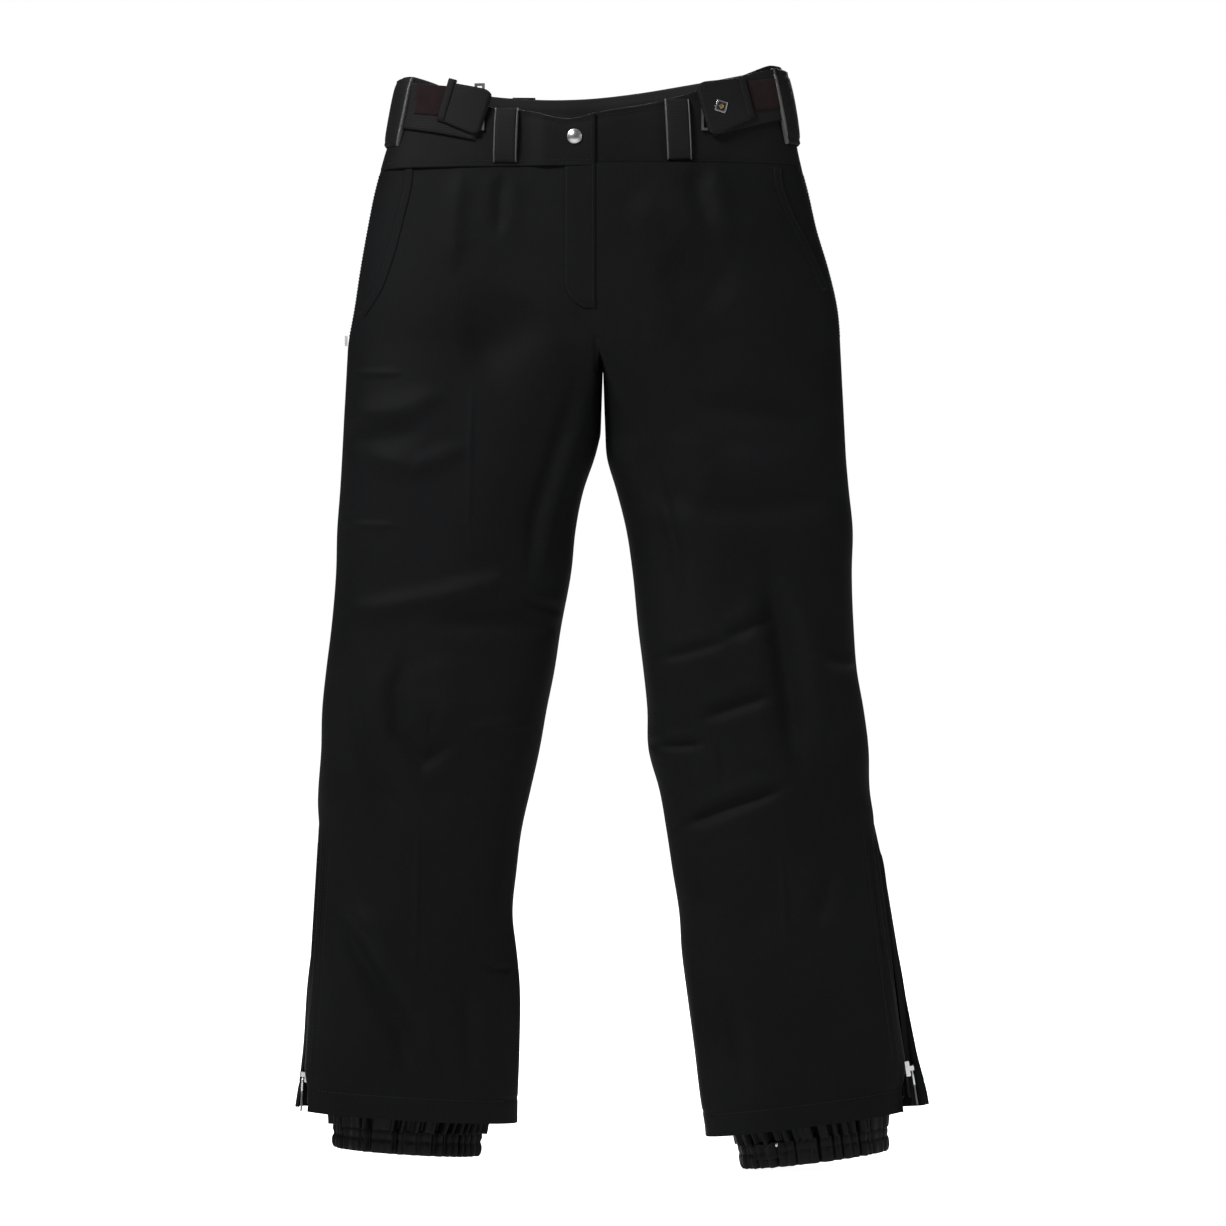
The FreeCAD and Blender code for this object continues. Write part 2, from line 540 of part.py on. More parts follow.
def build_fly():
    """Fly zip behind the placket: shield, tapes with their chain, slider and pull."""
    fly_x = "(fly_edge_x - fly_width / 2)"
    chain_x = f"({fly_x} + chain_shift)"
    foot = "fly_foot_z + zip_rise"
    tape_skin = shell(TORSO, "-fly_zip_depth", "-fly_zip_depth - tape_cloth")
    chain_skin = shell(TORSO, "chain_height - fly_zip_depth", "-fly_zip_depth")
    shield_skin = shell(TORSO, "-shield_depth", "-shield_depth - lining_cloth")
    tapes = common(tape_skin, block((f"{chain_x} - fly_zip_width / 2", f"-{FAR}", foot),
                                    (f"{chain_x} + fly_zip_width / 2", "0", "seam_z")))
    chain = common(chain_skin, block((f"{chain_x} - chain_half_width", f"-{FAR}", foot),
                                     (f"{chain_x} + chain_half_width", "0", "seam_z")))
    keep(tapes, "fly_zip_tapes")
    keep(chain, "fly_zip_chain")
    keep(common(shield_skin, block((f"{chain_x} - shield_width / 2", f"-{FAR}", foot),
                                   (f"{chain_x} + shield_width / 2", "0", "seam_z"))), "fly_shield")
    level = "(seam_z - slider_length)"
    depth = f"({mixed(('seam_z', 'seam_half_depth'), ('hip_z', 'hip_half_depth'), level)} - fly_zip_depth)"
    base = (chain_x, f"-{depth}", level)
    turns = [("x", f"-{FLY_LEAN}"), ("z", "-90")]
    keep(place(slider_body("FlySlider"), base, turns), "fly_zip_slider")
    keep(place(pull_body("FlyPull", "pull_length"), base, turns), "fly_zip_pull")


def leg_stations(side, sign):
    """Sections of one leg: the thigh from the hips to the knee, and the shin from the knee to the hem."""
    knee_x = f"{sign} * knee_spread_{side}"
    thigh = [
        ((f"crotch_x + {sign} * thigh_spread", "0", "hip_z - ply_gap"), "thigh_half_width", "thigh_half_depth", "0"),
        ((knee_x, "0", "knee_z + joint_gap"), "knee_half_width", "knee_half_depth", "0"),
    ]
    shin = [
        ((knee_x, "0", "knee_z - joint_gap"), "knee_half_width", "knee_half_depth", "0"),
        ((f"{sign} * calf_spread_{side}", "0", "calf_z"), "calf_half_width", "calf_half_depth", "0"),
        ((f"{sign} * hem_spread_{side}", "0", "hem_z"), "hem_half_width", "hem_half_depth",
         f"-{sign} * hem_lean_{side}"),
    ]
    return thigh, shin


def halves(skin, side, name):
    """Front and back panels of a leg tube."""
    keep(common(skin, block((f"-{FAR}", f"-{FAR}", f"-{SPAN}"), (FAR, "0", "0"))), f"{name}_front_{side}")
    keep(common(skin, block((f"-{FAR}", "0", f"-{SPAN}"), (FAR, FAR, "0"))), f"{name}_back_{side}")


def build_leg(side, sign):
    thigh, shin = leg_stations(side, sign)
    halves(shell(thigh, "0", "-cloth"), side, "thigh")
    calf_x = f"{sign} * calf_spread_{side}"
    low_x, high_x = (calf_x, FAR) if sign > 0 else (f"-{FAR}", calf_x)
    slot = block((low_x, "-slot_half_width", f"-{SPAN}"), (high_x, "slot_half_width", "calf_z - zip_top_drop"))
    halves(cut(shell(shin, "0", "-cloth"), slot), side, "shin")
    build_leg_zip(side, sign)
    build_gaiter(side, sign)


def build_leg_zip(side, sign):
    """Zip along the outer seam of the shin, with a gusset behind it and a ribbon on its pull."""
    lean = f"hem_lean_{side}"
    top_x = f"(calf_spread_{side} + calf_half_width)"
    foot_x = f"(hem_spread_{side} + hem_half_width * cos({lean}))"
    foot_z = f"(hem_z + hem_half_width * sin({lean}))"
    slope = f"(({foot_x} - {top_x}) / (calf_z - {foot_z}))"
    base = (f"{sign} * ({top_x} + zip_top_drop * {slope} - tape_depth)", "0", "calf_z - zip_top_drop")
    turns = [("y", f"-{sign} * atan({slope})")] + ([] if sign > 0 else [("z", "180")])
    run = f"((calf_z - zip_top_drop - {foot_z}) / cos(atan({slope})))"
    tapes = doc.addObject("PartDesign::Body", "LegZip")
    body_block(tapes, "Additive", ("-tape_cloth", "-tape_half_width", f"zip_foot_gap - {run}"),
               ("0", "tape_half_width", "0"))
    body_block(tapes, "Additive", ("-tape_cloth", "-chain_half_width", f"zip_foot_gap - {run}"),
               ("chain_height", "chain_half_width", "0"))
    keep(place(tapes, base, turns), f"leg_zip_chain_{side}")
    gusset = doc.addObject("PartDesign::Body", "Gusset")
    body_block(gusset, "Additive", ("-gusset_depth - lining_cloth", "-gusset_half_width",
                                    f"zip_foot_gap - {run}"), ("-gusset_depth", "gusset_half_width", "0"))
    keep(place(gusset, base, turns), f"leg_gusset_{side}")
    lowered = f"({run} - slider_foot_gap)"
    slider_base = (f"({base[0]}) + {sign} * {lowered} * sin(atan({slope}))", "0",
                   f"{base[2]} - {lowered} * cos(atan({slope}))")
    keep(place(slider_body("LegSlider"), slider_base, turns), f"leg_zip_slider_{side}")
    keep(place(pull_body("LegPull", "pull_length"), slider_base, turns), f"leg_zip_pull_{side}")
    ribbon = doc.addObject("PartDesign::Body", "Ribbon")
    body_block(ribbon, "Additive",
               (f"{PIN_X} - tape_cloth / 2", "-ribbon_half_width", "-pull_length - ribbon_length"),
               (f"{PIN_X} + tape_cloth / 2", "ribbon_half_width", "-pull_length"))
    keep(place(ribbon, slider_base, turns), f"leg_zip_ribbon_{side}")


def build_gaiter(side, sign):
    """A nylon tube sewn inside the leg above the hem, ending in an elastic cuff."""
    lean = f"-{sign} * hem_lean_{side}"
    drop = f"(cuff_foot_{side} - cuff_height)"

    def below_hem(distance):
        slide = f"sin(hem_lean_{side})"
        return (f"{sign} * (hem_spread_{side} + ({distance}) * {slide})", "0",
                f"hem_z - ({distance}) * cos(hem_lean_{side})")

    top_z = "(hem_z + gaiter_rise)"
    down = f"((calf_z - {top_z}) / (calf_z - hem_z))"
    top_x = f"{sign} * (calf_spread_{side} + (hem_spread_{side} - calf_spread_{side}) * {down})"
    inset = "(cloth + gaiter_clear + gusset_depth + lining_cloth)"
    tube = [
        ((top_x, "0", top_z), f"calf_half_width - {inset}", "calf_half_depth - cloth - gaiter_clear", "0"),
        (below_hem(f"{drop} - joint_gap"), "gaiter_half_width", "gaiter_half_depth", lean),
    ]
    cuff = [
        (below_hem(drop), "gaiter_half_width", "gaiter_half_depth", lean),
        (below_hem(f"{drop} + cuff_height"), "gaiter_half_width", "gaiter_half_depth", lean),
    ]
    keep(shell(tube, "0", "-lining_cloth"), f"gaiter_tube_{side}")
    keep(shell(cuff, "0", "-cloth"), f"gaiter_cuff_{side}")


def check():
    """Stop if any object failed or any sub-part is empty or broken."""
    doc.recompute()
    for item in doc.Objects:
        if "Invalid" in item.State or "Error" in item.State:
            raise RuntimeError(f"{item.Label} failed: {item.State}")
    for label, item in parts.items():
        if item.Shape.isNull() or not item.Shape.isValid() or not item.Shape.Solids:
            raise RuntimeError(f"{label} has no valid solid")


def write():
    os.makedirs("parts", exist_ok=True)
    for label, item in parts.items():
        item.Shape.exportStep(os.path.join("parts", f"{label}.step"))
    print(f"{len(parts)} sub-parts written")


build_waistband()
build_snap()
build_belt_loops()
build_adjusters()
build_hips(build_pockets())
build_fly()
for leg, leg_sign in LEGS.items():
    build_leg(leg, leg_sign)
check()
write()
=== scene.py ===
"""Black ski pants, standing as worn: soft panels, waistband, side adjusters, zips and snow gaiters."""
import bpy
import bmesh
import math
import numpy as np
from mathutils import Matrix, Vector
from mathutils.bvhtree import BVHTree


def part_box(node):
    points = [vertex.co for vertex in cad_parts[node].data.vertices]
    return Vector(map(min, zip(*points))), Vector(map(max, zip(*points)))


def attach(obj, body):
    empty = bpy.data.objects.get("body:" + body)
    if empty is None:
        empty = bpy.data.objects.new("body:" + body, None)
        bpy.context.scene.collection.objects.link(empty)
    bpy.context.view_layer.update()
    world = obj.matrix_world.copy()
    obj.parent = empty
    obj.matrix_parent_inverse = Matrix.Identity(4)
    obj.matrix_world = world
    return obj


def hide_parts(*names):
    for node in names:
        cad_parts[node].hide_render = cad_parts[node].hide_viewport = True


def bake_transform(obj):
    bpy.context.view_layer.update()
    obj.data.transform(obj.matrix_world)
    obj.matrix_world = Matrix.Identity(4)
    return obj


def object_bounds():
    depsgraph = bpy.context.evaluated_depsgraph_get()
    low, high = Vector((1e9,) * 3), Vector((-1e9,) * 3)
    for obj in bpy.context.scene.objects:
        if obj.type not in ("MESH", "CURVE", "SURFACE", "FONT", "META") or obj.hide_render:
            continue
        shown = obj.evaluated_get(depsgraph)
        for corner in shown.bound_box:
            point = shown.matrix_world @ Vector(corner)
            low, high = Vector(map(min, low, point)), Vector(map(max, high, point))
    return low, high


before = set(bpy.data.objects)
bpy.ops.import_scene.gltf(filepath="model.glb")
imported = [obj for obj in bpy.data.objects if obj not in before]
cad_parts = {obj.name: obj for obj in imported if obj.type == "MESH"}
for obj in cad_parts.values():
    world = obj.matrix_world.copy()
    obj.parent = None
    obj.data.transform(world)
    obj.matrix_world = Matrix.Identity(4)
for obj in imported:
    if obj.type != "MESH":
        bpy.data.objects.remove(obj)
CAD_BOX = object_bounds()
MM = 0.001

# ---------------------------------------------------------------- sizes of the cloth body, in millimetres
CENTRE_X = 3.0            # fly and seat seam
SEAM_Z = -68.0            # waistband seam
FORK_Z = -246.0           # where the torso splits towards the legs
CROTCH_DROP = 22.0        # lowest point of the crotch seam under the fork
CROTCH_SHIFT = 7.0        # the crotch from the fly line, towards the wearer's left
JOIN_Z = -335.0           # where each leg becomes a full round of its own
ZIP_TOP_Z = -722.0        # top of the side-leg zips
CLOTH = 2.4               # thickness of the shell with its lining
ROUNDNESS = 2.25          # exponent of the cross-sections: 2 is an ellipse, more is boxier

HALF_COUNT = 72           # columns over half of the torso
CROTCH_COUNT = 16         # columns over the crotch
ROW_STEP = 8.0            # height of a row of the cloth grid
ZIP_COLUMN = 36           # column along the front edge of the leg zip
ZIP_GAP = 13.0            # width of the gap over the leg zip
FLANGE = (0.25, 0.8, 1.0)  # how far the columns behind the zip stand out, as a share
SLIT_HEIGHT = 40.0        # height of the open slit at the foot of the leg zip
SLIT_OPEN = 15.0          # how far the slit's front edge draws back at the hem
HEM_FOLD = 24.0           # width of the hem's turned-up fold
RELAX_FRAMES = 20         # frames of the cloth simulation
RELAX_LIMIT = 0.012       # furthest that the simulation may move a point, in metres

# height, wearer's right edge, wearer's left edge
TORSO_OUTLINE = [
    (34, -189, 188), (10, -193, 193), (-10, -197, 196), (-30, -199, 200), (-50, -206, 204),
    (-68, -212, 209), (-90, -218, 215), (-130, -226, 224), (-170, -233, 236), (-210, -239, 245),
    (-250, -246, 248), (-290, -248, 249), (-335, -250, 252)]
# height, half depth to the front, half depth to the back
TORSO_DEPTH = [(34, 44, 45), (-68, 49, 50), (-150, 56, 60), (-215, 60, 66), (-335, 60, 62)]
# height, inner edge, outer edge, both from the middle outwards
LEG_OUTLINE = {
    "right": [(-335, -8, 250), (-355, -3, 251), (-390, 9, 253), (-430, 17, 256), (-470, 21, 257),
              (-530, 32, 262), (-570, 38, 267), (-610, 46, 271), (-650, 53, 272), (-690, 62, 275),
              (-730, 71, 276), (-770, 76, 278), (-815, 80, 280), (-850, 76, 283), (-880, 73, 287),
              (-950, 73, 292), (-1012, 75, 300), (-1030, 75, 302)],
    "left": [(-335, 12, 252), (-355, 13, 253), (-390, 23, 256), (-430, 33, 260), (-470, 39, 259),
             (-530, 45, 261), (-570, 50, 264), (-610, 54, 271), (-650, 55, 276), (-690, 66, 277),
             (-730, 73, 284), (-770, 79, 293), (-815, 86, 301), (-850, 88, 307), (-890, 93, 314),
             (-950, 101, 326), (-1000, 107, 336), (-1030, 112, 341)],
}
LEG_DEPTH = [(-335, 60, 62), (-450, 58, 60), (-590, 57, 50), (-720, 50, 48), (-860, 46, 48),
             (-1030, 44, 47)]
# the zip line: distance of the zip from the middle at its top and at the hem
ZIP_LINE = {"right": [(-722, 273), (-1012, 291)], "left": [(-722, 280), (-1012, 318)]}
# hem height at the inner and the outer corner
HEM = {"right": (-1022, -1008), "left": (-1035, -1006)}
SIDES = {"right": -1, "left": 1}


# ---------------------------------------------------------------- curves and distances
def glide(stations, at, column=1):
    """Smooth value through stations (position, value, ...) at one or many positions."""
    table = np.array(sorted(stations), dtype=float)
    position, value = table[:, 0], table[:, column]
    slope = np.gradient(value, position)
    at = np.clip(np.asarray(at, dtype=float), position[0], position[-1])
    index = np.clip(np.searchsorted(position, at) - 1, 0, len(position) - 2)
    gap = position[index + 1] - position[index]
    t = (at - position[index]) / gap
    start = (1 + 2 * t) * (1 - t) ** 2 * value[index] + t * (1 - t) ** 2 * gap * slope[index]
    end = t * t * (3 - 2 * t) * value[index + 1] + t * t * (t - 1) * gap * slope[index + 1]
    return start + end


def ease(low, high, at):
    """0 below low, 1 above high, smooth between."""
    t = np.clip((np.asarray(at, dtype=float) - low) / (high - low), 0, 1)
    return t * t * (3 - 2 * t)


def signed_power(value, power):
    """Power of the size of a value, with its sign kept."""
    return np.sign(value) * np.abs(value) ** power


def even_angles(count, first, ratio):
    """Angles evenly spaced in length round a flat oval, from a share of the way round."""
    dense = np.linspace(0, 2 * np.pi, 2881)
    points = np.stack([signed_power(np.cos(dense), 2 / ROUNDNESS),
                       ratio * signed_power(np.sin(dense), 2 / ROUNDNESS)], axis=1)
    length = np.concatenate([[0], np.cumsum(np.linalg.norm(np.diff(points, axis=0), axis=1))])
    share = (first + np.arange(count) / count) % 1.0
    return np.interp(share * length[-1], length, dense)


def oval(angles, outward, inward, front, back):
    """X and Y of an oval with a different reach on each of its four sides. Angle 0 points outward."""
    cosine, sine = np.cos(angles), np.sin(angles)
    x = signed_power(cosine, 2 / ROUNDNESS) * np.where(cosine > 0, outward, inward)
    y = signed_power(sine, 2 / ROUNDNESS) * np.where(sine > 0, back, front)
    return x, y


def along(points, x, z):
    """Signed distance from a line, and the share of its length, for positions in the front plane."""
    points = np.array(points, dtype=float)
    best = np.full(x.shape, 1e9)
    signed = np.zeros(x.shape)
    share = np.zeros(x.shape)
    lengths = np.linalg.norm(np.diff(points, axis=0), axis=1)
    total, run = lengths.sum(), 0.0
    for (x0, z0), (x1, z1), length in zip(points[:-1], points[1:], lengths):
        t = np.clip(((x - x0) * (x1 - x0) + (z - z0) * (z1 - z0)) / length ** 2, 0, 1)
        dx, dz = x - (x0 + t * (x1 - x0)), z - (z0 + t * (z1 - z0))
        distance = np.hypot(dx, dz)
        near = distance < best
        best = np.where(near, distance, best)
        side = np.sign((x1 - x0) * dz - (z1 - z0) * dx)
        signed = np.where(near, side * distance, signed)
        share = np.where(near, (run + t * length) / total, share)
        run += length
    return signed, share


# ---------------------------------------------------------------- the cloth body: rings, grid and faces
def torso_ring(level):
    """Points round the torso at one level, from the front middle by the wearer's left to the back."""
    left = glide(TORSO_OUTLINE, level, 2) - CENTRE_X
    right = CENTRE_X - glide(TORSO_OUTLINE, level, 1)
    front, back = glide(TORSO_DEPTH, level, 1), glide(TORSO_DEPTH, level, 2)
    angles = even_angles(2 * HALF_COUNT, 0.75, (front + back) / (left + right))
    x, y = oval(angles, left, right, front, back)
    return np.stack([x + CENTRE_X, y, np.full(len(x), level)], axis=1)


def leg_ring(side, share):
    """Points round one leg at a share of the way from join to hem, with the zip's edges at the side."""
    count = HALF_COUNT + CROTCH_COUNT
    first = 1.5 - (HALF_COUNT + CROTCH_COUNT / 2) / count
    hem_inner, hem_outer = HEM[side]
    level = np.full(count, JOIN_Z + share * ((hem_inner + hem_outer) / 2 - JOIN_Z))
    columns = np.arange(count)
    for _ in range(3):
        inner, outer = glide(LEG_OUTLINE[side], level, 1), glide(LEG_OUTLINE[side], level, 2)
        front, back = glide(LEG_DEPTH, level, 1), glide(LEG_DEPTH, level, 2)
        half = (outer - inner) / 2
        opened = 1 - ease(ZIP_TOP_Z - 12, ZIP_TOP_Z + 22, level)
        zip_reach = glide(ZIP_LINE[side], level, 1) - (outer + inner) / 2
        angles = even_angles(count, first, float(np.mean((front + back) / (2 * half))))
        forward = columns <= ZIP_COLUMN
        outward = np.where(forward, half + (zip_reach - half) * opened, half)
        x, y = oval(angles, outward, half, front, back)
        for step, share_out in enumerate(FLANGE):
            at = columns == ZIP_COLUMN + 1 + step
            x = np.where(at, x + (zip_reach + (half - zip_reach) * share_out - x) * opened, x)
        gap = ZIP_GAP * opened
        y = y - gap / 2 * np.clip(1 - (ZIP_COLUMN - columns) / 5, 0, 1) * forward
        y = np.where(columns == ZIP_COLUMN + 1, y + (gap / 2 - y) * opened, y)
        slit = 1 - ease(hem_outer + 2, hem_outer + SLIT_HEIGHT, level)
        near = np.clip(1 - (ZIP_COLUMN - columns) / 4, 0, 1) * forward
        x = x - SLIT_OPEN * slit * near
        y = y - SLIT_OPEN * 0.35 * slit * near
        x = x + (outer + inner) / 2
        hem = hem_inner + (hem_outer - hem_inner) * np.clip((x - inner) / (outer - inner), 0, 1)
        level = JOIN_Z + share * (hem - JOIN_Z)
    return np.stack([SIDES[side] * x, y, level], axis=1)


def ring_faces(upper, lower, closed=True, turned=False):
    """Quads between two rings of indices."""
    ahead = (np.roll(upper, -1), np.roll(lower, -1))
    quads = np.stack([upper, lower, ahead[1], ahead[0]], axis=1)
    if not closed:
        quads = quads[:-1]
    return quads[:, ::-1] if turned else quads


def build_body():
    """Grid of the whole garment: points and faces, with a gap left down each leg for its zip."""
    points, faces = [], []
    count = 0

    def add(ring):
        """Keep a ring of points and give its indices."""
        nonlocal count
        points.append(ring)
        count += len(ring)
        return np.arange(count - len(ring), count)

    rows = round((SEAM_Z - FORK_Z) / ROW_STEP)
    upper = add(torso_ring(SEAM_Z))
    for row in range(1, rows + 1):
        lower = add(torso_ring(SEAM_Z + (FORK_Z - SEAM_Z) * row / rows))
        faces.append(ring_faces(upper, lower))
        upper = lower
    fork = upper
    front, back = points[-1][0], points[-1][HALF_COUNT]
    turn = np.pi * np.arange(1, CROTCH_COUNT) / CROTCH_COUNT
    sweep = (back[1] + front[1]) / 2 + (back[1] - front[1]) / 2 * np.cos(turn)
    drift = CENTRE_X + CROTCH_SHIFT * np.sin(turn) ** 0.5
    crotch = add(np.stack([drift, sweep, FORK_Z - CROTCH_DROP * np.sin(turn)], axis=1))
    for side, sign in SIDES.items():
        order = np.arange(HALF_COUNT + 1) if sign > 0 else (-np.arange(HALF_COUNT + 1)) % (2 * HALF_COUNT)
        upper = np.concatenate([fork[order], crotch])
        top = np.concatenate(points)[upper]
        join = leg_ring(side, 0.0)
        rows = round((FORK_Z - JOIN_Z) / ROW_STEP)
        for row in range(1, rows + 1):
            lower = add(top + (join - top) * row / rows)
            faces.append(ring_faces(upper, lower, turned=sign < 0))
            upper = lower
        rows = round((JOIN_Z - HEM[side][1]) / ROW_STEP)
        for row in range(1, rows + 1):
            lower = add(leg_ring(side, row / rows))
            quads = ring_faces(upper, lower, turned=sign < 0)
            if points[-1][ZIP_COLUMN][2] < ZIP_TOP_Z:
                quads = np.delete(quads, ZIP_COLUMN, axis=0)
            faces.append(quads)
            upper = lower
    return np.concatenate(points) * MM, np.concatenate(faces)


def mesh_object(name, points, faces, smooth=True):
    """Mesh object of any faces."""
    mesh = bpy.data.meshes.new(name)
    mesh.from_pydata([tuple(p) for p in np.asarray(points, dtype=float)], [],
                     [tuple(map(int, f)) for f in faces])
    mesh.polygons.foreach_set("use_smooth", [smooth] * len(mesh.polygons))
    mesh.update()
    item = bpy.data.objects.new(name, mesh)
    bpy.context.scene.collection.objects.link(item)
    return item


def coordinates(mesh):
    """Points of a mesh as rows of an array."""
    flat = np.empty(len(mesh.vertices) * 3)
    mesh.vertices.foreach_get("co", flat)
    return flat.reshape(-1, 3)


def ripple(points, seed):
    """Smooth wandering value between about -1 and 1 for every point."""
    rng = np.random.default_rng(seed)
    total = np.zeros(len(points))
    for _ in range(7):
        wave = rng.normal(size=3) * np.array([26, 18, 15])
        total += np.sin(points @ wave + rng.uniform(0, 2 * np.pi))
    return total / 2.6


def relax(points, faces):
    """Let the cloth, cut a little longer than its place, buckle into soft folds between its held edges."""
    item = mesh_object("relaxing", points, faces)
    mesh_normal = np.empty(len(points) * 3)
    item.data.vertices.foreach_get("normal", mesh_normal)
    facing = np.abs(mesh_normal.reshape(-1, 3)[:, 1])
    levels = points[:, 2] / MM
    hem = np.where(points[:, 0] < 0, HEM["right"][1], HEM["left"][1])
    held = np.maximum.reduce([ease(SEAM_Z - 30, SEAM_Z, levels), 1 - ease(hem - 4, hem + 30, levels),
                              1 - ease(0.05, 0.4, facing)])
    group = item.vertex_groups.new(name="held")
    for step in range(1, 11):
        at = np.nonzero(np.round(held * 10) == step)[0]
        group.add([int(index) for index in at], step / 10, "REPLACE")
    item.shape_key_add(name="now")
    cut = item.shape_key_add(name="cut")
    longer = points.copy()
    longer[:, 2] *= 1.05
    longer[:, 2] += 0.020 * ripple(points, 4)
    longer[:, 0] += 0.014 * ripple(points, 9)
    longer[:, 0] *= 1.012
    cut.data.foreach_set("co", longer.ravel())
    cloth = item.modifiers.new("cloth", "CLOTH")
    settings = cloth.settings
    settings.quality = 6
    settings.mass = 0.25
    settings.tension_stiffness = 18
    settings.compression_stiffness = 18
    settings.shear_stiffness = 6
    settings.bending_stiffness = 4
    settings.air_damping = 2
    settings.vertex_group_mass = "held"
    settings.pin_stiffness = 1.5
    settings.rest_shape_key = cut
    settings.effector_weights.gravity = 0
    cloth.point_cache.frame_start = 1
    cloth.point_cache.frame_end = RELAX_FRAMES
    for frame_number in range(1, RELAX_FRAMES + 1):
        bpy.context.scene.frame_set(frame_number)
    settled = item.evaluated_get(bpy.context.evaluated_depsgraph_get()).to_mesh()
    moved = coordinates(settled) - points
    bpy.context.scene.frame_set(1)
    bpy.data.objects.remove(item)
    length = np.linalg.norm(moved, axis=1, keepdims=True)
    beside_zip = (levels < ZIP_TOP_Z + 30) & (np.abs(points[:, 0]) > 0.2)
    free = (1 - held * 0.5) * np.where(beside_zip, ease(10, 34, np.abs(points[:, 1]) / MM), 1)
    return points + moved * np.minimum(1, RELAX_LIMIT / np.maximum(length, 1e-9)) * free[:, None]


def refine(points, faces, levels=2):
    """The subdivided surface of a grid: points and faces."""
    item = mesh_object("refining", points, faces)
    divide = item.modifiers.new("divide", "SUBSURF")
    divide.levels = levels
    divide.render_levels = levels
    smooth = item.evaluated_get(bpy.context.evaluated_depsgraph_get()).to_mesh()
    corners = np.empty(len(smooth.polygons) * 4, dtype=int)
    smooth.loops.foreach_get("vertex_index", corners)
    result = coordinates(smooth).copy(), corners.reshape(-1, 4).copy()
    bpy.data.objects.remove(item)
    return result


def point_normals(points, faces):
    """Average normal at each point."""
    a, b, c, d = (points[faces[:, column]] for column in range(4))
    across = np.cross(c - a, d - b)
    total = np.zeros_like(points)
    for column in range(4):
        for axis in range(3):
            total[:, axis] += np.bincount(faces[:, column], across[:, axis], len(points))
    return total / np.maximum(np.linalg.norm(total, axis=1, keepdims=True), 1e-12)


# ---------------------------------------------------------------- folds pressed into the cloth
# each fold: lift in mm (ridges up, valleys down), width in mm, points of its line as seen from its side
FRONT_FOLDS = [
    # right thigh
    (-5.5, 20, [(-134, -262), (-95, -246), (-46, -213)]),
    (1.6, 2.5, [(-249, -274), (-183, -276)]),
    (4.5, 9, [(-256, -318), (-190, -314), (-140, -292)]),
    (-4.0, 10, [(-256, -340), (-205, -338), (-160, -330)]),
    (4.5, 8, [(-232, -352), (-176, -369), (-112, -344)]),
    (1.8, 2.5, [(-255, -425), (-186, -427)]),
    (-3.4, 6, [(-12, -268), (-36, -353), (-55, -416), (-64, -490)]),
    (2.6, 7, [(0, -285), (-23, -353), (-43, -416), (-52, -490)]),
    (1.0, 2.0, [(-118, -270), (-121, -350), (-122, -450)]),
    # right knee
    (5.5, 8, [(-268, -508), (-214, -508), (-163, -499), (-93, -482), (-20, -505)]),
    (-5.0, 9, [(-170, -524), (-120, -522), (-66, -524), (-26, -528)]),
    (-7.0, 12, [(-247, -548), (-236, -610), (-218, -666), (-180, -735)]),
    (4.0, 16, [(-156, -548), (-146, -590), (-140, -632)]),
    (-5.5, 7, [(-182, -548), (-195, -590), (-192, -632), (-168, -660), (-126, -634)]),
    (2.2, 4, [(-128, -626), (-57, -624)]),
    (-2.6, 4, [(-72, -500), (-28, -512)]),
    # right shin
    (-8.0, 9, [(-266, -790), (-240, -834), (-216, -877), (-190, -924), (-180, -985)]),
    (3.5, 10, [(-240, -800), (-218, -838), (-196, -880)]),
    (1.4, 2.2, [(-172, -715), (-174, -790), (-175, -868)]),
    (-3.0, 6, [(-124, -880), (-122, -985)]),
    (-2.4, 3, [(-104, -868), (-74, -868)]),
    (-4.0, 24, [(-118, -800), (-108, -860), (-130, -920)]),
    # under the waistband
    (-2.2, 5, [(-88, -72), (-92, -105), (-94, -145)]),
    (3.0, 8, [(-130, -66), (-137, -120), (-140, -185)]),
    (-3.0, 8, [(99, -66), (104, -100), (112, -135)]),
    (3.0, 9, [(117, -62), (126, -110), (134, -160)]),
    (-5.0, 20, [(62, -166), (100, -180), (144, -204)]),
    (3.0, 16, [(30, -110), (80, -124), (120, -120)]),
    # left thigh
    (-5.0, 13, [(54, -336), (70, -385), (98, -420)]),
    (-4.6, 10, [(88, -300), (150, -316), (262, -328)]),
    (-5.0, 11, [(80, -406), (158, -410), (262, -398)]),
    (3.4, 11, [(120, -356), (180, -366), (250, -360)]),
    (2.6, 5, [(36, -300), (60, -366), (80, -440), (90, -505)]),
    # left knee
    (-11.0, 10, [(168, -458), (178, -500), (188, -548), (194, -596), (199, -640), (208, -686)]),
    (4.0, 13, [(204, -490), (220, -556), (230, -620), (238, -680)]),
    (-4.4, 5, [(124, -538), (150, -530), (184, -510)]),
    (-3.0, 4, [(60, -560), (100, -550), (140, -538)]),
    (-4.4, 5, [(98, -620), (140, -606), (188, -590)]),
    (-3.6, 3.5, [(50, -644), (84, -645), (116, -642)]),
    (-5.4, 5, [(72, -732), (134, -706), (204, -680)]),
    (3.0, 5, [(210, -554), (240, -562), (270, -562)]),
    (3.0, 14, [(96, -664), (130, -660)]),
    # left shin
    (-3.6, 7, [(240, -756), (232, -790), (220, -828)]),
    (1.4, 2.2, [(186, -750), (190, -800), (192, -850)]),
    (-3.6, 6, [(126, -880), (140, -930), (154, -985)]),
    (-4.0, 22, [(200, -840), (190, -900), (200, -960)]),
]
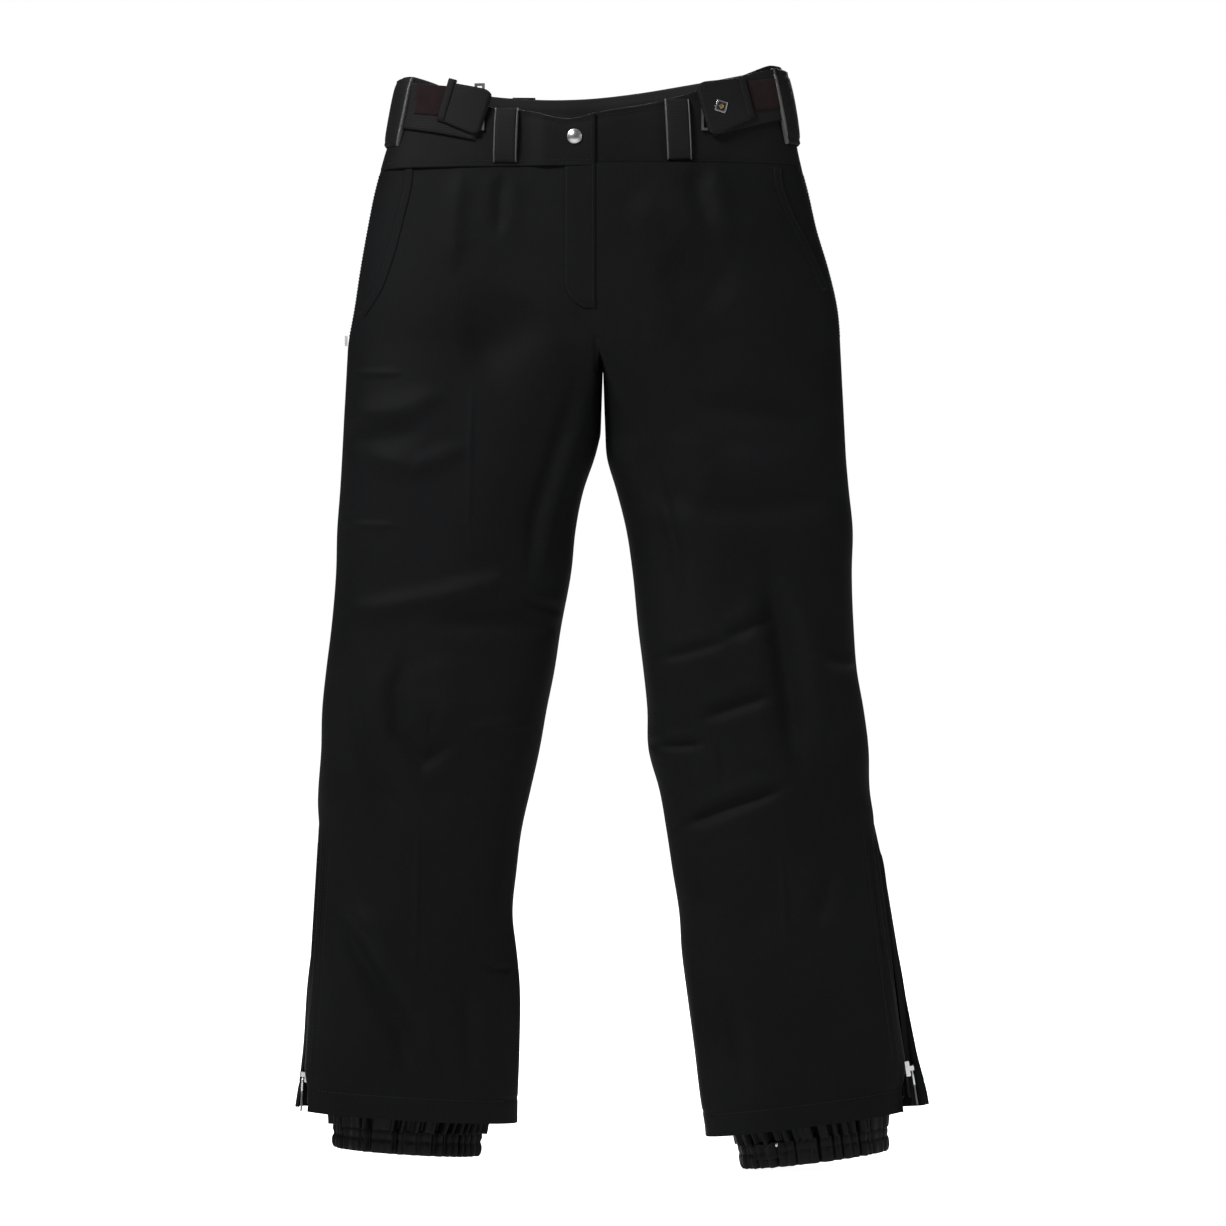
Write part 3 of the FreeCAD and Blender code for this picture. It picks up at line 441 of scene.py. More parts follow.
BACK_FOLDS = [
    (-3.5, 12, [(-190, -236), (-120, -262), (-60, -268)]),
    (-3.5, 12, [(185, -232), (122, -258), (60, -266)]),
    (3.0, 9, [(-210, -292), (-140, -310), (-70, -300)]),
    (3.0, 9, [(212, -290), (140, -312), (78, -298)]),
    (-4.0, 9, [(-232, -560), (-160, -588), (-70, -578)]),
    (-4.0, 9, [(238, -552), (165, -584), (80, -574)]),
    (3.5, 8, [(-236, -600), (-160, -622), (-66, -614)]),
    (3.5, 8, [(240, -596), (168, -620), (84, -610)]),
    (-3.0, 7, [(-225, -648), (-150, -660), (-95, -652)]),
    (-3.0, 7, [(232, -640), (160, -658), (105, -648)]),
    (-3.0, 10, [(-250, -830), (-200, -868), (-150, -880)]),
    (-3.0, 10, [(270, -820), (225, -868), (170, -884)]),
    (-2.0, 6, [(-60, -110), (-44, -170)]),
    (-2.0, 6, [(66, -112), (50, -172)]),
]
# mouth of each slash pocket, from the waistband down
POCKET_LINE = {
    "right": [(-177, -48), (-183, -75), (-193, -125), (-203, -162), (-214, -191), (-232, -218)],
    "left": [(174, -40), (184, -80), (194, -113), (213, -150), (232, -193)],
}


FOLD_SPREAD = 1.1


def fold_height(points, normals, folds, sign):
    """Height of the folds at every point, for the folds seen from the front (-1) or the back (1)."""
    x, z = points[:, 0] / MM, points[:, 2] / MM
    facing = ease(0.05, 0.45, normals[:, 1] * sign)
    total = np.zeros(len(points))
    for lift, width, line in folds:
        low, high = np.min(line, axis=0) - 5 * width, np.max(line, axis=0) + 5 * width
        near = np.nonzero((x > low[0]) & (x < high[0]) & (z > low[1]) & (z < high[1]) & (facing > 0))[0]
        distance, share = along(line, x[near], z[near])
        fade = ease(0, 0.32, share) * (1 - ease(0.68, 1, share))
        spread = width * FOLD_SPREAD * (0.75 + 0.5 * fade)
        shape = np.exp(-(distance / spread) ** 2)
        if lift < 0:
            shape -= 0.35 * np.exp(-((distance - 2 * spread) / (1.3 * spread)) ** 2)
            shape -= 0.15 * np.exp(-((distance + 2 * spread) / (1.3 * spread)) ** 2)
        total[near] += lift * shape * fade * facing[near]
    return total * MM


def seam_height(points, normals):
    """Grooves of the sewn seams, and gathers along the leg zips."""
    x, y, z = (points / MM).T
    total = np.zeros(len(points))
    centre = np.abs(x - CENTRE_X)
    back_seam = (normals[:, 1] > 0.3) & (z > FORK_Z - 20)
    total -= 1.6 * np.exp(-(centre / 2.2) ** 2) * back_seam
    under_fly = (normals[:, 1] < -0.3) & (z < FORK_Z + 6) & (z > FORK_Z - CROTCH_DROP - 8)
    total -= 1.6 * np.exp(-(centre / 2.2) ** 2) * under_fly
    for side, sign in SIDES.items():
        mine = x * sign > CENTRE_X * sign
        outer_face = normals[:, 0] * sign > 0.5
        above_zip = mine & outer_face & (z > ZIP_TOP_Z)
        total -= 1.4 * np.exp(-(y / 2.2) ** 2) * above_zip
        inner_face = (normals[:, 0] * sign < -0.5) & mine & (z < FORK_Z - CROTCH_DROP)
        total -= 1.4 * np.exp(-(y / 2.2) ** 2) * inner_face
        reach = np.where(mine, glide(ZIP_LINE[side], z, 1), 0) - x * sign
        beside = mine & (normals[:, 1] < -0.02) & (np.abs(reach) < 40)
        fade = ease(ZIP_TOP_Z - 200, ZIP_TOP_Z - 120, z) * (1 - ease(ZIP_TOP_Z - 24, ZIP_TOP_Z - 8, z))
        depth = np.hypot(reach, np.minimum(y, 0) * 0.5)
        gather = np.cos(2 * np.pi * depth / 5.2) * (1 - ease(10, 21, depth))
        total += 0.9 * gather * fade * beside
        hem = np.abs(hem_distance(side, x, z) - HEM_FOLD)
        total -= 0.8 * np.exp(-(hem / 1.8) ** 2) * mine
    return total * MM


def hem_distance(side, x, z):
    """Height above the leg's hem, in mm."""
    inner_reach, outer_reach = (LEG_OUTLINE[side][-1][column] for column in (1, 2))
    share = np.clip((x * SIDES[side] - inner_reach) / (outer_reach - inner_reach), 0, 1)
    return z - (HEM[side][0] + (HEM[side][1] - HEM[side][0]) * share)


start_points, grid_faces = build_body()
settled_points = relax(start_points, grid_faces)
body_points, body_faces = refine(settled_points, grid_faces)
body_normals = point_normals(body_points, body_faces)
lift = fold_height(body_points, body_normals, FRONT_FOLDS, -1)
lift += fold_height(body_points, body_normals, BACK_FOLDS, 1)
lift += seam_height(body_points, body_normals)
broad_face = ease(0.2, 0.7, np.abs(body_normals[:, 1]))
lift += (0.0012 * ripple(body_points, 21) + 0.0026 * ripple(body_points * 0.6, 5)) * broad_face
body_points = body_points + body_normals * lift[:, None]
body_normals = point_normals(body_points, body_faces)
cloth_surface = BVHTree.FromPolygons([tuple(p) for p in body_points],
                                     [tuple(map(int, f)) for f in body_faces])


# ---------------------------------------------------------------- pieces cut from the cloth body
def cloth_piece(name, keep, material, thickness=CLOTH * MM):
    """A stretch of the cloth body as a piece, with thickness and the whole body's smooth shading."""
    quads = body_faces[keep]
    used, inverse = np.unique(quads, return_inverse=True)
    quads = inverse.reshape(-1, 4)
    outer, normal = body_points[used], body_normals[used]
    count = len(used)
    edges = np.concatenate([quads[:, [0, 1]], quads[:, [1, 2]], quads[:, [2, 3]], quads[:, [3, 0]]])
    forward = edges[:, 0] * count + edges[:, 1]
    backward = edges[:, 1] * count + edges[:, 0]
    rim = edges[~np.isin(forward, backward)]
    rim_quads = np.stack([rim[:, 1], rim[:, 0], rim[:, 0] + count, rim[:, 1] + count], axis=1)
    faces = np.concatenate([quads, quads[:, ::-1] + count, rim_quads])
    points = np.concatenate([outer, outer - normal * thickness])
    item = quad_object(name, points, faces)
    item.data.normals_split_custom_set_from_vertices([tuple(n) for n in np.concatenate([normal, -normal])])
    item.data.materials.append(material)
    return item


def quad_object(name, points, faces):
    """Mesh object of many quads, made quickly."""
    mesh = bpy.data.meshes.new(name)
    mesh.vertices.add(len(points))
    mesh.vertices.foreach_set("co", np.asarray(points, dtype=np.float32).ravel())
    mesh.loops.add(len(faces) * 4)
    mesh.loops.foreach_set("vertex_index", np.asarray(faces, dtype=np.int32).ravel())
    mesh.polygons.add(len(faces))
    mesh.polygons.foreach_set("loop_start", np.arange(0, len(faces) * 4, 4, dtype=np.int32))
    mesh.polygons.foreach_set("use_smooth", np.ones(len(faces), dtype=bool))
    mesh.update(calc_edges=True)
    mesh.validate()
    item = bpy.data.objects.new(name, mesh)
    bpy.context.scene.collection.objects.link(item)
    return item


def touch(surface, view, across, level):
    """Point and outward normal on a surface under a place seen from one side, in mm."""
    if view in ("front", "back"):
        toward = -1 if view == "front" else 1
        origin, ray = Vector((across * MM, toward * 0.6, level * MM)), Vector((0, -toward, 0))
    else:
        toward = 1 if view == "left_side" else -1
        origin, ray = Vector((toward * 0.6, across * MM, level * MM)), Vector((-toward, 0, 0))
    point, normal, _, _ = surface.ray_cast(origin, ray)
    if point is None:
        point, normal, _, _ = surface.find_nearest(origin + ray * 0.55)
    if normal.dot(ray) > 0:
        normal = -normal
    return np.array(point), np.array(normal)


def evenly(line, step):
    """Points every few millimetres along a line of points, curved through them, with unit directions."""
    line = np.array(line, dtype=float)
    run = np.concatenate([[0], np.cumsum(np.linalg.norm(np.diff(line, axis=0), axis=1))])
    at = np.linspace(0, run[-1], max(2, int(round(run[-1] / step)) + 1))
    if len(line) > 2:
        made = np.stack([glide(list(zip(run, line[:, axis])), at) for axis in range(line.shape[1])], axis=1)
    else:
        made = np.stack([np.interp(at, run, line[:, axis]) for axis in range(line.shape[1])], axis=1)
    direction = np.gradient(made, axis=0)
    return made, direction / np.linalg.norm(direction, axis=1, keepdims=True)


def overlay(name, view, line, left, right, thickness, material, surface=None, step=2.5, round_edge=0.8,
            lift_at=None, ends=True):
    """A strip of cloth lying on a surface along a line seen from one side, with rounded edges.

    left and right are its reaches in mm beside the line, as numbers or functions of the share along it.
    """
    surface = surface or cloth_surface
    middle, direction = evenly(line, step)
    shares = np.linspace(0, 1, len(middle))
    reach_left = np.array([left(share) if callable(left) else left for share in shares])
    reach_right = np.array([right(share) if callable(right) else right for share in shares])
    width = float(np.mean(reach_left + reach_right))
    inner = np.linspace(0, 1, max(3, int(width / 2.5)))
    inset = min(0.45, round_edge / width)
    across = np.concatenate([[0, 0, inset * 0.35], inset + (1 - 2 * inset) * inner,
                             [1 - inset * 0.35, 1, 1]])
    height = np.concatenate([[-0.7, 0.35, 0.85], np.ones(len(inner)), [0.85, 0.35, -0.7]])
    points = []
    for index, (place, along_it) in enumerate(zip(middle, direction)):
        sideways = np.array([-along_it[1], along_it[0]])
        end = 1.0
        if ends and index in (0, len(middle) - 1):
            end = -0.3
        extra = lift_at(shares[index]) if lift_at else 0.0
        for share, rise in zip(across, height):
            spot = place + sideways * (share * (reach_left[index] + reach_right[index])
                                       - reach_right[index])
            point, normal = touch(surface, view, spot[0], spot[1])
            up = thickness * rise if end > 0 or rise < 0 else thickness * end
            points.append(point + normal * (up + (extra if rise > 0 else 0)) * MM)
    columns = len(across)
    faces = []
    for row in range(len(middle) - 1):
        for column in range(columns - 1):
            first = row * columns + column
            faces.append((first, first + columns, first + columns + 1, first + 1))
    item = quad_object(name, np.array(points), np.array(faces))
    face_outward(item)
    item.data.materials.append(material)
    return item


def face_outward(item):
    """Turn the faces of an open strip so that they look away from the garment's middle."""
    mesh = bmesh.new()
    mesh.from_mesh(item.data)
    score = 0.0
    for face in mesh.faces:
        middle = face.calc_center_median()
        leg = 0.0 if middle.z > FORK_Z * MM else math.copysign(0.17, middle.x)
        score += face.normal.dot(Vector((middle.x - leg, middle.y * 3, 0))) * face.calc_area()
    if score < 0:
        bmesh.ops.reverse_faces(mesh, faces=mesh.faces)
    mesh.to_mesh(item.data)
    mesh.free()


def even_normals(item):
    """Make all face normals of a closed part point outward."""
    mesh = bmesh.new()
    mesh.from_mesh(item.data)
    bmesh.ops.recalc_face_normals(mesh, faces=mesh.faces)
    mesh.to_mesh(item.data)
    mesh.free()


def stitches(name, view, line, material, surface=None, pitch=3.4, stitch=2.5, radius=0.32, lift=0.15):
    """A row of thread stitches on a surface along a line seen from one side."""
    surface = surface or cloth_surface
    middle, _ = evenly(line, pitch)
    points, faces = [], []
    for start, end in zip(middle[:-1], middle[1:]):
        ahead = start + (end - start) * stitch / pitch
        (first, up), (last, _) = touch(surface, view, *start), touch(surface, view, *ahead)
        run = last - first
        if np.linalg.norm(run) > 0.008:
            continue
        side = np.cross(up, run / max(np.linalg.norm(run), 1e-9))
        for share, thick in ((0, 0.35), (0.18, 0.9), (0.82, 0.9), (1, 0.35)):
            dip = up * (lift if 0 < share < 1 else -0.3) * MM
            for turn in np.linspace(0, 2 * np.pi, 6, endpoint=False):
                points.append(first + run * share + dip
                              + (side * np.cos(turn) + up * np.sin(turn)) * radius * thick * MM)
        base = len(points) - 24
        for ring in range(3):
            for corner in range(6):
                a = base + ring * 6 + corner
                b = base + ring * 6 + (corner + 1) % 6
                faces.append((a, b, b + 6, a + 6))
    item = quad_object(name, np.array(points), np.array(faces))
    item.data.materials.append(material)
    return item


def joined(name, items):
    """Several meshes made into one piece."""
    bpy.ops.object.select_all(action="DESELECT")
    for item in items:
        item.select_set(True)
    bpy.context.view_layer.objects.active = items[0]
    bpy.ops.object.join()
    items[0].name = name
    items[0].data.name = name
    return items[0]


# ---------------------------------------------------------------- shader groups and finishes
def shader_group(name, inputs, outputs):
    """Empty shader node group with named sockets."""
    tree = bpy.data.node_groups.new(name, "ShaderNodeTree")
    for label, kind, value in inputs:
        socket = tree.interface.new_socket(name=label, in_out="INPUT", socket_type=kind)
        if value is not None:
            socket.default_value = value
    for label, kind in outputs:
        tree.interface.new_socket(name=label, in_out="OUTPUT", socket_type=kind)
    return tree, tree.nodes.new("NodeGroupInput"), tree.nodes.new("NodeGroupOutput")


def sums(tree, kind, first, second=None):
    """A Math node of two values, which are sockets or numbers."""
    node = tree.nodes.new("ShaderNodeMath")
    node.operation = kind
    for socket, value in zip(node.inputs, (first, second)):
        if value is None:
            continue
        if isinstance(value, (int, float)):
            socket.default_value = value
        else:
            tree.links.new(value, socket)
    return node.outputs[0]


def noise(tree, place, scale, detail=3.0):
    """A noise value that depends on place."""
    node = tree.nodes.new("ShaderNodeTexNoise")
    node.inputs["Detail"].default_value = detail
    if isinstance(scale, (int, float)):
        node.inputs["Scale"].default_value = scale
    else:
        tree.links.new(scale, node.inputs["Scale"])
    tree.links.new(place, node.inputs["Vector"])
    return node.outputs["Fac"]


def weave_group():
    """Threads crossing at right angles, raised and lowered in turn."""
    tree, given, result = shader_group("crossed threads", [("Place", "NodeSocketVector", None),
                                                           ("Pitch", "NodeSocketFloat", 0.001),
                                                           ("Rib", "NodeSocketFloat", 0.0)],
                                       [("Height", "NodeSocketFloat")])
    split = tree.nodes.new("ShaderNodeSeparateXYZ")
    tree.links.new(given.outputs["Place"], split.inputs[0])
    turn = sums(tree, "DIVIDE", 2 * math.pi, given.outputs["Pitch"])
    round_it = sums(tree, "ADD", split.outputs["X"], split.outputs["Y"])
    warp = sums(tree, "SINE", sums(tree, "MULTIPLY", round_it, turn))
    weft = sums(tree, "SINE", sums(tree, "MULTIPLY", split.outputs["Z"], turn))
    crossed = sums(tree, "MULTIPLY", warp, weft)
    ribbed = sums(tree, "MULTIPLY", weft, given.outputs["Rib"])
    tree.links.new(sums(tree, "ADD", crossed, ribbed), result.inputs["Height"])
    return tree


def mottle_group():
    """Colour and roughness that wander a little over a surface, at two sizes."""
    tree, given, result = shader_group("mottled finish", [("Place", "NodeSocketVector", None),
                                                          ("Colour", "NodeSocketColor", (0.5, 0.5, 0.5, 1)),
                                                          ("Worn colour", "NodeSocketColor",
                                                           (0.6, 0.6, 0.6, 1)),
                                                          ("Size", "NodeSocketFloat", 20.0),
                                                          ("Roughness", "NodeSocketFloat", 0.6),
                                                          ("Roughness spread", "NodeSocketFloat", 0.1)],
                                       [("Colour", "NodeSocketColor"), ("Roughness", "NodeSocketFloat")])
    broad = noise(tree, given.outputs["Place"], given.outputs["Size"], 4.0)
    fine = noise(tree, given.outputs["Place"], sums(tree, "MULTIPLY", given.outputs["Size"], 40.0), 2.0)
    both = sums(tree, "ADD", sums(tree, "MULTIPLY", broad, 0.65), sums(tree, "MULTIPLY", fine, 0.35))
    sharper = tree.nodes.new("ShaderNodeMapRange")
    sharper.inputs["From Min"].default_value = 0.35
    sharper.inputs["From Max"].default_value = 0.65
    tree.links.new(both, sharper.inputs["Value"])
    mix = tree.nodes.new("ShaderNodeMix")
    mix.data_type = "RGBA"
    tree.links.new(sharper.outputs[0], mix.inputs["Factor"])
    tree.links.new(given.outputs["Colour"], mix.inputs[6])
    tree.links.new(given.outputs["Worn colour"], mix.inputs[7])
    tree.links.new(mix.outputs[2], result.inputs["Colour"])
    offset = sums(tree, "MULTIPLY", sums(tree, "SUBTRACT", both, 0.5), given.outputs["Roughness spread"])
    tree.links.new(sums(tree, "ADD", given.outputs["Roughness"], offset), result.inputs["Roughness"])
    return tree


CROSSED_THREADS = weave_group()
MOTTLED_FINISH = mottle_group()


def finish(name, colour, worn, size, roughness, spread, pitch=0.0, rib=0.0, relief=0.0, grain=0.0,
           grain_size=900.0, **constants):
    """A surface finish: wandering colour, crossed threads and a fine grain."""
    material = bpy.data.materials.new(name)
    material.use_nodes = True
    tree = material.node_tree
    shader = tree.nodes["Principled BSDF"]
    for label, value in constants.items():
        shader.inputs[label.replace("_", " ")].default_value = value
    place = tree.nodes.new("ShaderNodeTexCoord").outputs["Object"]
    mottled = tree.nodes.new("ShaderNodeGroup")
    mottled.node_tree = MOTTLED_FINISH
    tree.links.new(place, mottled.inputs["Place"])
    mottled.inputs["Colour"].default_value = (*colour, 1)
    mottled.inputs["Worn colour"].default_value = (*worn, 1)
    mottled.inputs["Size"].default_value = size
    mottled.inputs["Roughness"].default_value = roughness
    mottled.inputs["Roughness spread"].default_value = spread
    tree.links.new(mottled.outputs["Colour"], shader.inputs["Base Color"])
    tree.links.new(mottled.outputs["Roughness"], shader.inputs["Roughness"])
    height = sums(tree, "MULTIPLY", noise(tree, place, grain_size, 2.0), grain)
    if pitch:
        woven = tree.nodes.new("ShaderNodeGroup")
        woven.node_tree = CROSSED_THREADS
        tree.links.new(place, woven.inputs["Place"])
        woven.inputs["Pitch"].default_value = pitch
        woven.inputs["Rib"].default_value = rib
        height = sums(tree, "ADD", height, sums(tree, "MULTIPLY", woven.outputs["Height"], relief))
    bump = tree.nodes.new("ShaderNodeBump")
    bump.inputs["Strength"].default_value = 1.0
    bump.inputs["Distance"].default_value = 0.001
    tree.links.new(height, bump.inputs["Height"])
    tree.links.new(bump.outputs["Normal"], shader.inputs["Normal"])
    return material


def grey(level):
    """A neutral colour."""
    return (level, level, level)


SHELL = finish("matt softshell", (0.0033, 0.0034, 0.0037), (0.0049, 0.0051, 0.0056), 9.0, 0.62, 0.2,
               pitch=0.0011, relief=0.05, grain=0.12, Specular_IOR_Level=0.05)
BAND = finish("waistband twill", (0.0032, 0.0032, 0.0036), (0.0047, 0.0048, 0.0053), 14.0, 0.58, 0.2,
              pitch=0.0013, relief=0.08, grain=0.12, Specular_IOR_Level=0.07)
WEBBING = finish("ribbed webbing", grey(0.0042), grey(0.0064), 30.0, 0.6, 0.2, pitch=0.0016, rib=0.8,
                 relief=0.08, grain=0.1, Specular_IOR_Level=0.09)
SATIN = finish("satin piping", grey(0.030), grey(0.050), 40.0, 0.34, 0.2, pitch=0.0009, relief=0.06,
               grain=0.05, Specular_IOR_Level=0.45, Sheen_Weight=0.1)
HOOKS = finish("loop fastener pile", (0.0066, 0.0030, 0.0034), (0.0120, 0.0056, 0.0060), 60.0, 0.9, 0.1,
               grain=0.9, grain_size=1400.0, Specular_IOR_Level=0.12, Sheen_Weight=0.02)
NYLON = finish("coated nylon", (0.0022, 0.0022, 0.0026), (0.0040, 0.0040, 0.0046), 30.0, 0.36, 0.2,
               pitch=0.0012, relief=0.05, grain=0.2, grain_size=300.0, Specular_IOR_Level=0.10)
LINING = finish("brushed lining", (0.016, 0.016, 0.018), (0.024, 0.024, 0.027), 20.0, 0.8, 0.15,
                pitch=0.0010, relief=0.1, grain=0.2, Specular_IOR_Level=0.15, Sheen_Weight=0.1)
TAPE = finish("zip tape", grey(0.012), grey(0.018), 40.0, 0.7, 0.15, pitch=0.0010, rib=0.6, relief=0.12,
              grain=0.1, Specular_IOR_Level=0.2)
COIL = finish("zip coil", grey(0.014), grey(0.022), 60.0, 0.38, 0.15, grain=0.05, Specular_IOR_Level=0.4)
RIBBON = finish("grey ribbon", (0.10, 0.10, 0.11), (0.15, 0.15, 0.16), 50.0, 0.5, 0.15, pitch=0.0012,
                rib=0.9, relief=0.15, grain=0.05, Specular_IOR_Level=0.35)
THREAD = finish("sewing thread", grey(0.0075), grey(0.013), 90.0, 0.6, 0.15, grain=0.05,
                Specular_IOR_Level=0.12)
LABEL = finish("woven label", (0.42, 0.42, 0.43), (0.52, 0.52, 0.52), 60.0, 0.6, 0.15, pitch=0.0008,
               rib=0.5, relief=0.12, grain=0.05, Specular_IOR_Level=0.3)
STEEL = finish("bright nickel", (0.52, 0.52, 0.53), (0.66, 0.66, 0.67), 45.0, 0.26, 0.14, grain=0.06,
               grain_size=500.0, Metallic=1.0)
DARK_STEEL = finish("dark nickel", (0.22, 0.22, 0.23), (0.32, 0.32, 0.33), 60.0, 0.30, 0.16, grain=0.08,
                    grain_size=600.0, Metallic=1.0)
ENAMEL = finish("black enamel", grey(0.010), grey(0.016), 60.0, 0.16, 0.1, grain=0.02,
                Specular_IOR_Level=0.5)
INSIDE = finish("waist lining", (0.0064, 0.0064, 0.0072), (0.0105, 0.0105, 0.0115), 12.0, 0.7, 0.15,
                pitch=0.0014, relief=0.06, grain=0.1, Specular_IOR_Level=0.2)
GOLD = finish("pale gold", (0.66, 0.45, 0.20), (0.74, 0.54, 0.27), 60.0, 0.26, 0.14, grain=0.08,
              grain_size=700.0, Metallic=1.0)


# ---------------------------------------------------------------- hips and legs
face_middle = body_points[body_faces].mean(axis=1) / MM
CUT_Z = -450.0
in_torso = face_middle[:, 2] > FORK_Z
hips_cloth = cloth_piece("hips_cloth", in_torso, SHELL)
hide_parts("hip_front_right", "hip_front_left", "hip_back_right", "hip_back_left",
            "crotch_gusset")
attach(hips_cloth, "hips")
for side, sign in SIDES.items():
    mine = ~in_torso & ((face_middle[:, 0] - CENTRE_X) * sign > 0)
    upper = cloth_piece(f"upper_leg_{side}", mine & (face_middle[:, 2] > CUT_Z), SHELL)
    lower = cloth_piece(f"lower_leg_{side}", mine & (face_middle[:, 2] <= CUT_Z), SHELL)
    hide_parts(f"thigh_front_{side}", f"thigh_back_{side}")
    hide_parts(f"shin_front_{side}", f"shin_back_{side}")
    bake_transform(upper)
    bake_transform(lower)


# ---------------------------------------------------------------- waistband
FRONT_TOP = [(-200, 22), (-175, 14), (-140, 0), (-103, -13), (-72, -15), (-25, -24), (6, -17), (67, -7),
             (112, 5), (150, 17), (195, 33)]
BACK_TOP = [(-200, 22), (-105, 8), (-13, 6.5), (46, 12), (103, 20), (195, 33)]
BAND_FOOT = -71.0
BAND_CLOTH = 3.0
BAND_ROWS = (0.0, 0.02, 0.07, 0.2, 0.4, 0.6, 0.78, 0.86, 0.9, 0.96, 1.0)
TAB_LIFT = 3.4


def band_ring(level, swell):
    """Points round the waist at a level for each column, pushed outward by a swell in mm."""
    left, right = glide(TORSO_OUTLINE, level, 2) - CENTRE_X, CENTRE_X - glide(TORSO_OUTLINE, level, 1)
    front, back = glide(TORSO_DEPTH, level, 1), glide(TORSO_DEPTH, level, 2)
    angles = even_angles(2 * HALF_COUNT, 0.75, float(np.mean((front + back) / (left + right))))
    x, y = oval(angles, left + swell, right + swell, front + swell, back + swell)
    return np.stack([x + CENTRE_X, y, level], axis=1)


def band_grid(rows, foot, top_front, top_back, swell_at):
    """Rows of points round the waist from a level foot to a curved top edge."""
    grid = []
    flat = band_ring(np.full(2 * HALF_COUNT, SEAM_Z), np.zeros(2 * HALF_COUNT))
    top = np.where(flat[:, 1] < 0, glide(top_front, flat[:, 0]), glide(top_back, flat[:, 0]))
    for share in rows:
        grid.append(band_ring(foot + (top - foot) * share, swell_at(share)))
    return np.array(grid)


def band_swell(share):
    """Bulge of the waistband between its seam and its top stitching."""
    crown = 1.3 * math.sin(math.pi * share) - 0.8 * math.exp(-((share - 0.88) / 0.03) ** 2)
    return np.full(2 * HALF_COUNT, 0.6 + crown)


def settle(item):
    """Apply an object's modifiers."""
    made = bpy.data.meshes.new_from_object(item.evaluated_get(bpy.context.evaluated_depsgraph_get()))
    item.modifiers.clear()
    item.data = made
    item.data.polygons.foreach_set("use_smooth", [True] * len(made.polygons))
    return item


def thick_grid(name, grid, thickness, material, levels=2, closed=False, inside=None):
    """A sheet through a grid of points, thickened inward and rounded."""
    rows, columns = grid.shape[:2]
    faces = []
    for row in range(rows - 1):
        for column in range(columns if closed else columns - 1):
            ahead = (column + 1) % columns
            first, second = row * columns, (row + 1) * columns
            faces.append((first + column, first + ahead, second + ahead, second + column))
    item = mesh_object(name, grid.reshape(-1, 3) * MM, faces)
    item.data.materials.append(material)
    thicken = item.modifiers.new("thicken", "SOLIDIFY")
    thicken.thickness = thickness * MM
    thicken.offset = -1
    if inside:
        item.data.materials.append(inside)
        thicken.material_offset = 1
    divide = item.modifiers.new("divide", "SUBSURF")
    divide.levels = levels
    divide.render_levels = levels
    return settle(item)


def surface_of(*items):
    """Search tree over the meshes of some objects."""
    points, faces = [], []
    for item in items:
        base = len(points)
        points += [tuple(vertex.co) for vertex in item.data.vertices]
        faces += [tuple(base + index for index in polygon.vertices) for polygon in item.data.polygons]
    return BVHTree.FromPolygons(points, faces)


band_all = band_grid(BAND_ROWS, BAND_FOOT, FRONT_TOP, BACK_TOP, band_swell)
wrinkle = 0.5 * ripple(band_all.reshape(-1, 3) * MM * 2.2, 33).reshape(band_all.shape[:2])
outward = band_all - np.array([CENTRE_X, 0, 0])
outward[:, :, 2] = 0
outward /= np.linalg.norm(outward, axis=2, keepdims=True)
band_all += outward * wrinkle[:, :, None]
quarter = HALF_COUNT // 2
right_columns = np.arange(3 * quarter, 4 * quarter + 1) % (2 * HALF_COUNT)
left_columns = np.arange(-8, quarter + 1) % (2 * HALF_COUNT)
right_grid = band_all[:, right_columns].copy()
tab_share = ease(-64, -47, right_grid[:, :, 0])
right_grid[:, :, 1] -= TAB_LIFT * tab_share
left_grid = band_all[:, left_columns].copy()
left_grid[:, :, 2] -= 1.5 * (left_grid[:, :, 0] < CENTRE_X - 1)
band_right = thick_grid("waistband_front_right", right_grid, BAND_CLOTH, BAND, inside=INSIDE)
band_left = thick_grid("waistband_front_left", left_grid, BAND_CLOTH, BAND, inside=INSIDE)
band_back = thick_grid("waistband_back", band_all[:, quarter:3 * quarter + 1], BAND_CLOTH, BAND,
                       inside=INSIDE)
band_surface = surface_of(band_right, band_left, band_back)
form_grid = band_grid((0, 0.25, 0.5, 0.75, 1), -100, [(-200, 46), (195, 46)], [(-200, 46), (195, 46)],
                      lambda share: np.full(2 * HALF_COUNT, 2.0))
form = thick_grid("waist_form", form_grid, 1.0, BAND, levels=2, closed=True)
waist_form = surface_of(form)
bpy.data.objects.remove(form)


def top_line(low_x, high_x, top, drop):
    """A line that follows the waistband's top edge some mm below it."""
    return [(x, float(glide(top, x)) - drop) for x in np.linspace(low_x, high_x, 12)]


band_threads = {
    "right": [top_line(-184, 0, FRONT_TOP, 5.0), [(-205, -65.5), (0, -65.5)]],
    "left": [top_line(6, 184, FRONT_TOP, 5.0), [(6, -65.5), (205, -65.5)]],
    "back": [top_line(-184, 184, BACK_TOP, 5.0), [(-205, -65.5), (205, -65.5)]],
}
threads = {}
for part, lines in band_threads.items():
    view = "back" if part == "back" else "front"
    threads[part] = [stitches(f"band_thread_{part}_{index}", view, line, THREAD, band_surface)
                     for index, line in enumerate(lines)]
threads["right"].append(stitches("tab_end_thread", "front", [(-1, -24), (-1, -64)], THREAD, band_surface))
band_right = joined("waistband_front_right", [band_right] + threads["right"])
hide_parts("waistband_front_right", "waist_tab")
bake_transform(band_right)
band_left = joined("waistband_front_left", [band_left] + threads["left"])
band_back = joined("waistband_back", [band_back] + threads["back"])
for item, node in ((band_left, "waistband_front_left"), (band_back, "waistband_back")):
    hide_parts(node)
    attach(item, "hips")


